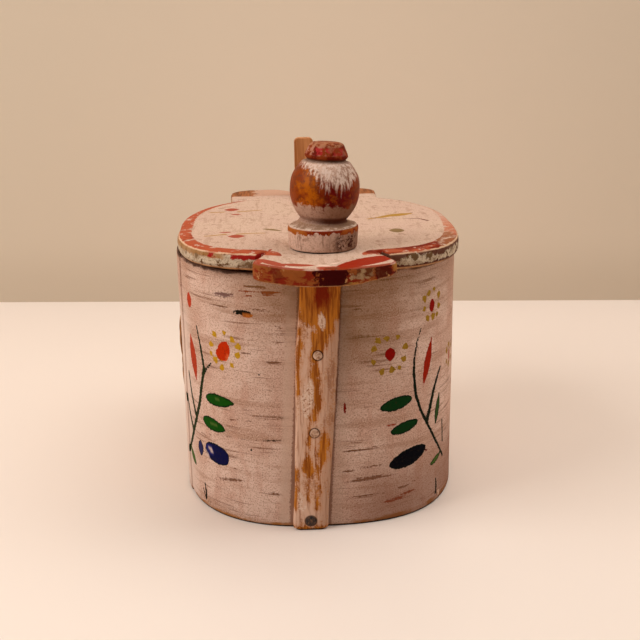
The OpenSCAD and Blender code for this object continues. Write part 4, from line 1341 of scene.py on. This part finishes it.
worn_x = mix.between(mix.sums("ABSOLUTE", mix.sums("SUBTRACT", x, 0.0595)), 0.006, 0.004)
worn_part = mix.both(stripe, mix.both(worn_x, mix.between(y, -0.033, -0.037)))
paint = mix.over(mix.both(worn_part, 0.85), paint, mix.over(mix.between(ragged, 0.53, 0.60), colour(152, 90, 54), cream_light))
thin_gap = mix.sums("ADD", mix.kept("edge_gap"), mix.sums("MULTIPLY_ADD", ragged, 1.0, -0.5))
moved_gap = thin_gap
at_front = mix.between(y, 0.0, -0.03)
# A painted highlight: a broken light line just inside the arris along the lid's front.
painted_highlight_line = mix.both(mix.between(moved_gap, 0.2, 0.5), mix.between(moved_gap, 1.1, 0.8))
painted_highlight_line = mix.both(mix.both(painted_highlight_line, at_front), mix.between(coarse, 0.36, 0.5, 0.3, 0.9))
paint = mix.over(mix.both(painted_highlight_line, round_edge), paint, colour(220, 178, 140))
arris = mix.both(mix.both(mix.between(moved_gap, 0.5, 0.2), at_front), round_edge)
paint = mix.over(mix.both(arris, 0.9), paint, colour(108, 44, 18))
tongue_line = mix.both(mix.between(moved_gap, 1.5, 1.1), mix.between(y, -0.083, -0.085))
paint = mix.over(mix.both(tongue_line, mix.between(coarse, 0.36, 0.46, 0.2, 0.9)), paint, colour(150, 50, 18))

side = mix.between(facing_up, 0.62, 0.4)
side_paint = mix.over(mix.between(ragged, 0.465, 0.415), crust, crust_dark)
side_paint = mix.over(mix.between(coarse, 0.50, 0.60, 0, 0.6), side_paint, colour(140, 110, 80))
side_paint = mix.over(mix.between(specks, 0.52, 0.62, 0, 0.5), side_paint, crust_dark)
rough_z = mix.sums("MULTIPLY_ADD", mix.sums("SUBTRACT", ragged, 0.5), 0.006, z)
upper_edge = mix.sums("MULTIPLY_ADD", mix.sums("SUBTRACT", coarse, 0.5), 0.010, rough_z)
upper_side = mix.both(mix.between(upper_edge, 0.1306, 0.1314), mix.between(x, 0.0, 0.02))
side_paint = mix.over(mix.both(upper_side, 0.9), side_paint, colour(80, 28, 10))
ochre_left = mix.both(mix.between(rough_z, 0.1298, 0.1308), mix.between(x, -0.042, -0.046))
side_paint = mix.over(mix.both(ochre_left, 0.8), side_paint, colour(156, 104, 54))


def between_x(low, high):
    """A mask between two places across the lid, with soft ends."""
    return mix.both(mix.between(edge_x, low, low + 0.0015), mix.between(edge_x, high + 0.0015, high))


edge_x = mix.sums("MULTIPLY_ADD", mix.sums("SUBTRACT", ragged, 0.5), 0.018, x)
red_left = mix.both(mix.either(between_x(-0.053, -0.048), between_x(-0.041, -0.026)), mix.between(y, -0.04, -0.05))
side_paint = mix.over(mix.both(red_left, mix.between(rough_z, 0.1304, 0.1312)), side_paint, colour(150, 28, 20))
low_side = mix.both(mix.between(rough_z, 0.1280, 0.1274), mix.between(x, -0.01, 0.02, 0.3, 0.95))
side_paint = mix.over(low_side, side_paint, colour(74, 22, 8))
side_paint = mix.over(mix.both(mix.between(z, 0.1268, 0.1264), 0.8), side_paint, colour(190, 140, 96))
bare_side = mix.over(mix.between(mix.clouds(mix.stretch(spot, 1, 1, 2), 170, 5, 0.68), 0.45, 0.58), side_wood, stripe_dark)
bare_side = mix.over(mix.both(mix.between(ragged, 0.55, 0.62), mix.between(coarse, 0.45, 0.55)), bare_side,
                     colour(176, 124, 76))
bare_side = mix.over(mix.both(between_x(0.0205, 0.0275), 0.9), bare_side, colour(70, 8, 0))
bare_side = mix.over(between_x(-0.0045, 0.0085), bare_side, maroon)
bare_side = mix.over(mix.both(between_x(-0.0245, -0.0195), 0.6), bare_side, colour(92, 18, 4))
grey = mix.over(mix.between(ragged, 0.45, 0.58), colour(84, 40, 18), colour(160, 128, 92))
grey_patch = mix.both(between_x(0.0105, 0.0195), mix.between(rough_z, 0.1284, 0.1294))
bare_side = mix.over(mix.both(grey_patch, 0.8), bare_side, grey)
bare_side = mix.over(mix.both(mix.between(edge_x, 0.0285, 0.031), 0.8), bare_side, colour(156, 104, 44))
gold_rim = mix.both(mix.between(rough_z, 0.1272, 0.1266), mix.between(x, 0.006, 0.012))
bare_side = mix.over(mix.both(gold_rim, 0.8), bare_side, colour(176, 122, 58))
on_tongue = mix.between(mix.sums("ABSOLUTE", y), 0.0775, 0.0795)
side_paint = mix.over(on_tongue, side_paint, bare_side)
paint = mix.over(side, paint, side_paint)

tall_end = mix.between(mix.sums("MULTIPLY_ADD", ragged, 0.004, y), 0.0835, 0.0855)
fork_grain = mix.clouds(mix.stretch(spot, 1, 0.08, 1), 420, 4, 0.65)
fork_wood = mix.over(mix.between(fork_grain, 0.4, 0.62), colour(166, 100, 58), colour(120, 66, 34))
from_middle = mix.sums("MULTIPLY_ADD", mix.sums("SUBTRACT", ragged, 0.5), 0.02, mix.sums("ABSOLUTE", mix.sums("ADD", x, 0.002)))
pink_left = mix.both(mix.between(from_middle, 0.031, 0.028), mix.between(y, 0.1058, 0.1045))
fork_wood = mix.over(mix.both(pink_left, 0.9), fork_wood, colour(200, 156, 130))
paint = mix.over(tall_end, paint, fork_wood)

underside = mix.between(facing_up, -0.4, -0.7)
bare_board = mix.over(mix.between(mix.clouds(mix.stretch(spot, 1, 0.08, 1), 260, 4, 0.6), 0.4, 0.62),
                      colour(168, 118, 76), colour(124, 80, 48))
paint = mix.over(underside, paint, bare_board)
relief = mix.sums("ADD", mix.both(ragged, 0.8), mix.both(specks, 0.3))
mix.finish(paint, relief, 0.22)
board.data.materials.append(mix.material)
print("lid finish nodes:", len(mix.tree.nodes))

# %% [markdown]
# ## The knob's paint
# Fingers have polished the ball: the pale paint is left as upright brush streaks at its top and
# as a ring at its foot, and the wood between has gone amber and dark red-brown. The disc keeps
# its paint but for a bare line along its upper arris, and the cap is red.

# %% Mix the knob's finish
amber = colour(170, 84, 0)
amber_dark = colour(134, 52, 0)
dark_red = colour(100, 6, 0)
knob_pale = colour(212, 173, 150)
knob_grime_and_shade = colour(112, 70, 40)
cap_brown = colour(130, 50, 12)
crimson = colour(168, 34, 34)

mix = Recipe("knob_worn_paint", 0.5, 0.06)
lathe = mix.kept("lathe", "Vector")
across_x, up = mix.axis(lathe, "X"), mix.axis(lathe, "Z")
blotches = mix.clouds(lathe, 110, 5, 0.65)
specks = mix.clouds(lathe, 1300, 2, 0.6)
ragged = mix.clouds(lathe, 380, 5, 0.7)
mottles = mix.clouds(lathe, 240, 4, 0.65)
bristles = mix.clouds(mix.stretch(lathe, 1, 1, 0.12), 860, 3, 0.68)
cracks = mix.clouds(mix.stretch(lathe, 1, 1, 0.06), 900, 2, 0.6)
redder = mix.sums("MULTIPLY_ADD", mix.sums("SUBTRACT", blotches, 0.5), 0.022, across_x)
wood = mix.over(mix.between(blotches, 0.42, 0.56), amber, amber_dark)
red_part = mix.both(mix.between(redder, -0.008, 0.0), mix.between(mottles, 0.38, 0.50, 0.55, 1.0))
wood = mix.over(red_part, wood, dark_red)
wood = mix.over(mix.both(mix.between(redder, 0.0085, 0.0125), 0.7), wood, amber_dark)
wood = mix.over(mix.between(ragged, 0.52, 0.62, 0, 0.45), wood, colour(70, 16, 2))
wood = mix.over(mix.both(mix.between(up, 0.026, 0.030, 0, 0.5), mix.between(ragged, 0.45, 0.56)), wood, colour(112, 54, 28))
pale = mix.over(mix.between(specks, 0.5, 0.64, 0, 0.5), knob_pale, milk_dusty)
# Painted shade: the pale paint darkens steadily towards the knob's right side.
pale = mix.over(mix.between(redder, -0.004, 0.016, 0, 0.75), pale, knob_grime_and_shade)
pale = mix.over(mix.both(mix.between(cracks, 0.57, 0.66), 0.4), pale, colour(104, 60, 34))
pale = mix.over(mix.between(ragged, 0.52, 0.66, 0, 0.5), pale, knob_grime_and_shade)
bent = mix.sums("SUBTRACT", across_x, 0.004)
paint_end = mix.sums("MULTIPLY_ADD", mix.both(bent, bent), 45, 0.0292)
streaky = mix.sums("MULTIPLY_ADD", mix.sums("SUBTRACT", bristles, 0.5), 0.018, mix.sums("SUBTRACT", up, paint_end))
streaky = mix.sums("MULTIPLY_ADD", mix.sums("SUBTRACT", blotches, 0.5), 0.012, streaky)
top_streaks = mix.between(streaky, -0.0022, 0.0034)
foot_ring = mix.sums("MULTIPLY_ADD", mix.sums("SUBTRACT", blotches, 0.5), 0.012, up)
foot_ring = mix.sums("MULTIPLY_ADD", mix.sums("SUBTRACT", ragged, 0.5), 0.008, foot_ring)
foot_ring = mix.between(foot_ring, 0.0212, 0.0198)
# The paint at the ball's foot is darker, partly with grime and partly with painted shade that grows towards the right.
low_pale = mix.over(mix.between(mix.both(mix.sums("ADD", across_x, 0.012), up), 0.0001, 0.0003, 0.35, 0.7), pale, knob_grime_and_shade)
paint = mix.over(mix.both(top_streaks, 0.92), wood, mix.over(mix.between(bristles, 0.46, 0.56, 0, 0.7), pale, colour(228, 198, 178)))
paint = mix.over(mix.both(foot_ring, 0.95), paint, low_pale)
paint = mix.over(mix.between(up, 0.0118, 0.0112), paint, pale)
on_disc = mix.between(up, 0.0116, 0.011)
scuff_place = mix.both(mix.between(mix.sums("ABSOLUTE", mix.sums("SUBTRACT", across_x, 0.0095)), 0.006, 0.003),
                       mix.between(mix.sums("ABSOLUTE", mix.sums("SUBTRACT", up, 0.0045)), 0.004, 0.002))
scuffs = mix.both(on_disc, mix.both(mix.between(ragged, 0.48, 0.53), scuff_place))
paint = mix.over(mix.both(scuffs, 0.9), paint, colour(60, 18, 6))
rim_low = mix.sums("MULTIPLY_ADD", mix.sums("SUBTRACT", mottles, 0.5), 0.009, up)
rim = mix.both(mix.between(rim_low, 0.0081, 0.0087), mix.between(up, 0.0105, 0.0101))
rim_paint = mix.over(mix.between(redder, -0.009, -0.006), colour(160, 84, 26), colour(122, 34, 4))
rim_paint = mix.over(mix.between(mottles, 0.50, 0.58, 0, 0.8), rim_paint, colour(158, 78, 20))
paint = mix.over(rim, paint, rim_paint)
disc_top = mix.both(mix.between(up, 0.0106, 0.0109), mix.between(up, 0.0126, 0.0120))
paint = mix.over(mix.both(disc_top, mix.between(ragged, 0.56, 0.46, 0.3, 0.85)), paint, colour(146, 108, 80))
# A painted highlight: a broken white line along the disc's upper arris.
painted_highlight_arris = mix.both(mix.between(up, 0.0103, 0.0106), mix.between(up, 0.0112, 0.0108))
paint = mix.over(mix.both(painted_highlight_arris, mix.between(ragged, 0.49, 0.54, 0, 0.85)), paint, colour(226, 196, 172))
# Painted shadow: a dark line round the front of the disc's foot, strongest on the left, where the disc meets the lid.
disc_foot_shadow = mix.both(mix.between(up, 0.0010, 0.0004), mix.between(mix.axis(lathe, "Y"), 0.004, -0.006))
paint = mix.over(mix.both(disc_foot_shadow, mix.between(across_x, 0.014, -0.002, 0.3, 1.0)), paint, colour(24, 12, 10))
neck_shade = mix.both(mix.between(up, 0.0120, 0.0130), mix.between(up, 0.0160, 0.0145))
paint = mix.over(mix.both(neck_shade, mix.between(across_x, -0.008, 0.002, 0.35, 0.9)), paint, colour(78, 28, 6))
on_cap = mix.between(up, 0.0395, 0.0402)
front = mix.both(mix.between(mix.axis(lathe, "Y"), 0.0, -0.004), mix.between(ragged, 0.40, 0.47))
middle_up = mix.between(mix.sums("ABSOLUTE", mix.sums("SUBTRACT", up, 0.0440)), 0.0019, 0.0011)
red_left_x = mix.between(mix.sums("ABSOLUTE", mix.sums("ADD", across_x, 0.0022)), 0.0036, 0.0026)
red_right_x = mix.between(mix.sums("ABSOLUTE", mix.sums("SUBTRACT", across_x, 0.0046)), 0.0026, 0.0016)
red_patches = mix.both(mix.both(front, middle_up), mix.either(red_left_x, mix.both(red_right_x, 0.7)))
red_patches = mix.both(red_patches, mix.between(mottles, 0.40, 0.48))
cap_paint = mix.over(mix.between(mottles, 0.46, 0.56), cap_brown, colour(100, 18, 0))
left_part = mix.between(across_x, 0.0, -0.004, 0.35, 1.0)
cap_pale = mix.both(mix.both(mix.between(up, 0.0418, 0.0426), left_part), mix.between(ragged, 0.48, 0.55))
cap_paint = mix.over(mix.both(cap_pale, 0.7), cap_paint, colour(190, 130, 104))
cap_paint = mix.over(mix.both(red_patches, 0.9), cap_paint, crimson)
cap_rub = mix.both(mix.between(up, 0.0456, 0.0462), mix.between(ragged, 0.45, 0.52))
cap_paint = mix.over(mix.both(cap_rub, 0.6), cap_paint, colour(170, 112, 74))
paint = mix.over(on_cap, paint, cap_paint)
groove = mix.both(mix.between(up, 0.0386, 0.0396), mix.between(up, 0.0408, 0.0402))
paint = mix.over(mix.both(groove, 0.7), paint, colour(92, 60, 38))
paint = mix.over(mix.between(up, -0.0005, -0.0015), paint, colour(170, 118, 76))
relief = mix.sums("ADD", mix.both(ragged, 0.7), mix.both(bristles, 0.5))
mix.finish(paint, relief, 0.16, mix.between(mix.either(top_streaks, foot_ring), 0, 1, 0.4, 0.65))
knob.data.materials.append(mix.material)

# %% [markdown]
# ## The posts
# The short post was painted and has worn most where hands and lid rub it: ochre wood shows in
# long upright streaks, more at the top. The tall post is bare brown wood. A dark ring of painted
# shade lies round each peg, in the gap where the wood has shrunk from it. Painted shade also
# darkens the right half of the short post's face, its right edge and its foot.

# %% Mix the short post's finish
ochre_wood = colour(188, 110, 26)
ochre_dark = colour(124, 54, 0)
post_pale = colour(216, 172, 145)
post_edge_shade = colour(62, 20, 2)

mix = Recipe("post_worn_paint", 0.6, 0.05)
spot = mix.place()
x, z = mix.axis(spot, "X"), mix.axis(spot, "Z")
middle_x = mix.sums("SUBTRACT", x, mix.sums("MULTIPLY_ADD", z, 0.0536, -0.008))
upright_grain = mix.clouds(mix.stretch(spot, 1, 1, 0.05), 1000, 3, 0.65)
blotches = mix.clouds(mix.stretch(spot, 1, 1, 0.4), 150, 5, 0.68)
ragged = mix.clouds(mix.stretch(spot, 1, 1, 0.35), 520, 4, 0.65)
flecks = mix.clouds(spot, 1300, 3, 0.65)
wood = mix.over(mix.between(upright_grain, 0.44, 0.60, 0, 0.8), ochre_wood, ochre_dark)
wood = mix.over(mix.between(blotches, 0.55, 0.65, 0, 0.5), wood, colour(96, 34, 0))
pale = mix.over(mix.between(upright_grain, 0.50, 0.62, 0, 0.7), post_pale, colour(172, 122, 94))
# Painted shade: the paint darkens on the right half of the post's rounded face.
pale = mix.over(mix.between(middle_x, 0.0, 0.008, 0, 0.6), pale, colour(158, 112, 82))
depth = mix.kept("paint_depth")
bare_depth = mix.sums("MULTIPLY_ADD", mix.sums("SUBTRACT", ragged, 0.5), 7, depth)
bare_depth = mix.sums("MULTIPLY_ADD", mix.sums("SUBTRACT", upright_grain, 0.5), 5, bare_depth)
bare_depth = mix.sums("MULTIPLY_ADD", mix.sums("SUBTRACT", flecks, 0.5), 3, bare_depth)
is_bare = mix.axis(mix.kept("paint_colour", "Vector"), "X")
rubbed = mix.both(mix.between(bare_depth, -0.7, 0.6), is_bare)
thinned = mix.both(mix.between(bare_depth, -2.6, -0.2, 0, 0.4), is_bare)
paint = mix.over(thinned, pale, colour(190, 118, 62))
paint = mix.over(mix.both(rubbed, 0.95), paint, wood)
scraped = mix.both(mix.between(mix.sums("ADD", blotches, mix.both(mix.sums("SUBTRACT", flecks, 0.5), 0.6)), 0.56, 0.63), 0.45)
paint = mix.over(scraped, paint, wood)
crack_depth = mix.sums("MULTIPLY_ADD", mix.sums("SUBTRACT", ragged, 0.5), 9, depth)
thick = mix.both(mix.between(crack_depth, -0.4, 0.6), mix.sums("SUBTRACT", 1.0, is_bare))
paint = mix.over(mix.both(thick, mix.between(flecks, 0.47, 0.53, 0, 0.9)), paint, colour(226, 194, 170))
paint = mix.over(mix.both(thick, mix.between(flecks, 0.40, 0.34)), paint, ochre_dark)
red_edge = mix.sums("MULTIPLY_ADD", ragged, 0.006, mix.sums("ABSOLUTE", mix.sums("SUBTRACT", middle_x, 0.0006)))
red_spot = mix.both(mix.between(red_edge, 0.0078, 0.0055),
                    mix.between(mix.sums("MULTIPLY_ADD", ragged, 0.016, z), 0.113, 0.124))
paint = mix.over(mix.both(red_spot, 0.92), paint, colour(116, 12, 0))
# Painted shade: a dark line down the post's right edge.
right_edge = mix.between(mix.sums("MULTIPLY_ADD", ragged, 0.002, middle_x), 0.0096, 0.0104)
paint = mix.over(mix.both(right_edge, 0.8), paint, post_edge_shade)


def peg_shadow(recipe, shift_x, shift_z, radius):
    """A dark ring of painted shade round a peg's end, in the plane of a post's face."""
    aside = recipe.sums("SUBTRACT", recipe.axis(spot, "X"), shift_x)
    above = recipe.sums("SUBTRACT", recipe.axis(spot, "Z"), shift_z)
    reach = recipe.sums("SQRT", recipe.sums("ADD", recipe.both(aside, aside), recipe.both(above, above)))
    return recipe.between(reach, radius + 0.75 * mm, radius + 0.1 * mm)


rings = peg_shadow(mix, near_x_at(peg_heights[0]), peg_heights[0], 2.2 * mm)
rings = mix.either(rings, peg_shadow(mix, near_x_at(peg_heights[1]), peg_heights[1], 2.2 * mm))
rings = mix.either(rings, peg_shadow(mix, near_x_at(nail_z), nail_z, 2.6 * mm))
paint = mix.over(mix.both(rings, 0.85), paint, colour(44, 18, 8))
# Painted contact shadow: the post's foot darkens almost to black where it meets the table.
painted_foot_shadow = mix.between(mix.sums("MULTIPLY_ADD", ragged, 0.0012, z), 0.0017, 0.0011, 0, 0.85)
paint = mix.over(painted_foot_shadow, paint, colour(30, 12, 4))
relief = mix.sums("ADD", mix.both(upright_grain, 0.8), mix.both(mix.either(rubbed, scraped), -0.8))
mix.finish(paint, relief, 0.2)
near_post.data.materials.append(mix.material)

# %% Mix the bare woods
def bare_wood(name, light, dark, along, per_metre=320, roughness=0.6):
    """Aged wood without paint. along is the direction of its grain, as three stretches."""
    recipe = Recipe(name, roughness, 0.1)
    grain_place = recipe.place()
    grain = recipe.clouds(recipe.stretch(grain_place, *along), per_metre, 4, 0.6, 0.4)
    pores = recipe.clouds(recipe.stretch(grain_place, *along), per_metre * 4, 2, 0.6)
    stain = recipe.clouds(grain_place, 45, 3, 0.6)
    wood_colour = recipe.over(recipe.between(grain, 0.35, 0.68), light, dark)
    wood_colour = recipe.over(recipe.between(pores, 0.55, 0.8, 0, 0.5), wood_colour, dark)
    wood_colour = recipe.over(recipe.between(stain, 0.5, 0.75, 0, 0.4), wood_colour, dark)
    return recipe.finish(wood_colour, recipe.sums("ADD", grain, recipe.both(pores, 0.6)), 0.18)


far_post.data.materials.append(bare_wood("tall_post_wood", colour(204, 136, 84), colour(160, 96, 50), (1, 1, 0.06)))
bottom_wood = bare_wood("bottom_pine", colour(186, 134, 86), colour(138, 88, 50), (1, 0.06, 1))
peg_wood = bare_wood("peg_end_grain", colour(214, 174, 146), colour(150, 104, 74), (1, 1, 1), 700)
for pegs in (near_pegs, far_pegs):
    pegs.data.materials.append(peg_wood)
root_wood = bare_wood("split_root", colour(178, 122, 72), colour(92, 52, 24), (1, 1, 0.12), 900, 0.5)
lacing.data.materials.append(root_wood)

# %% Blacken the iron
mix = Recipe("forged_iron", 0.5, 0.5)
rust = mix.clouds(mix.place(), 700, 4, 0.65)
mix.shader.inputs["Metallic"].default_value = 0.7
iron_colour = mix.over(mix.between(rust, 0.45, 0.65), colour(52, 42, 38), colour(118, 84, 60))
mix.finish(iron_colour, rust, 0.3)
for nail_head in (near_nail, far_nail):
    nail_head.data.materials.append(mix.material)

# %% [markdown]
# The bottom board, its small pegs and the wedge keep their CAD shapes, which are right as they
# are. They only need a finish in place of the plain one.

# %% Dress the CAD pieces that stay
def dress(node, material):
    data = nodes[node].data
    data.materials.clear()
    data.materials.append(material)


dress("bottom_board", bottom_wood)
dress("bottom_pegs", peg_wood)
dress("knob_wedge", bottom_wood)

# %% [markdown]
# ## The size
# The dressed box should be as large as the CAD box. Both are printed side by side.

dressed_box = [list(corner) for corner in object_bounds()]
for before, after in zip(cad_box, dressed_box):
    print("mm, CAD and dressed:", [(round(a / mm, 1), round(b / mm, 1)) for a, b in zip(before, after)])
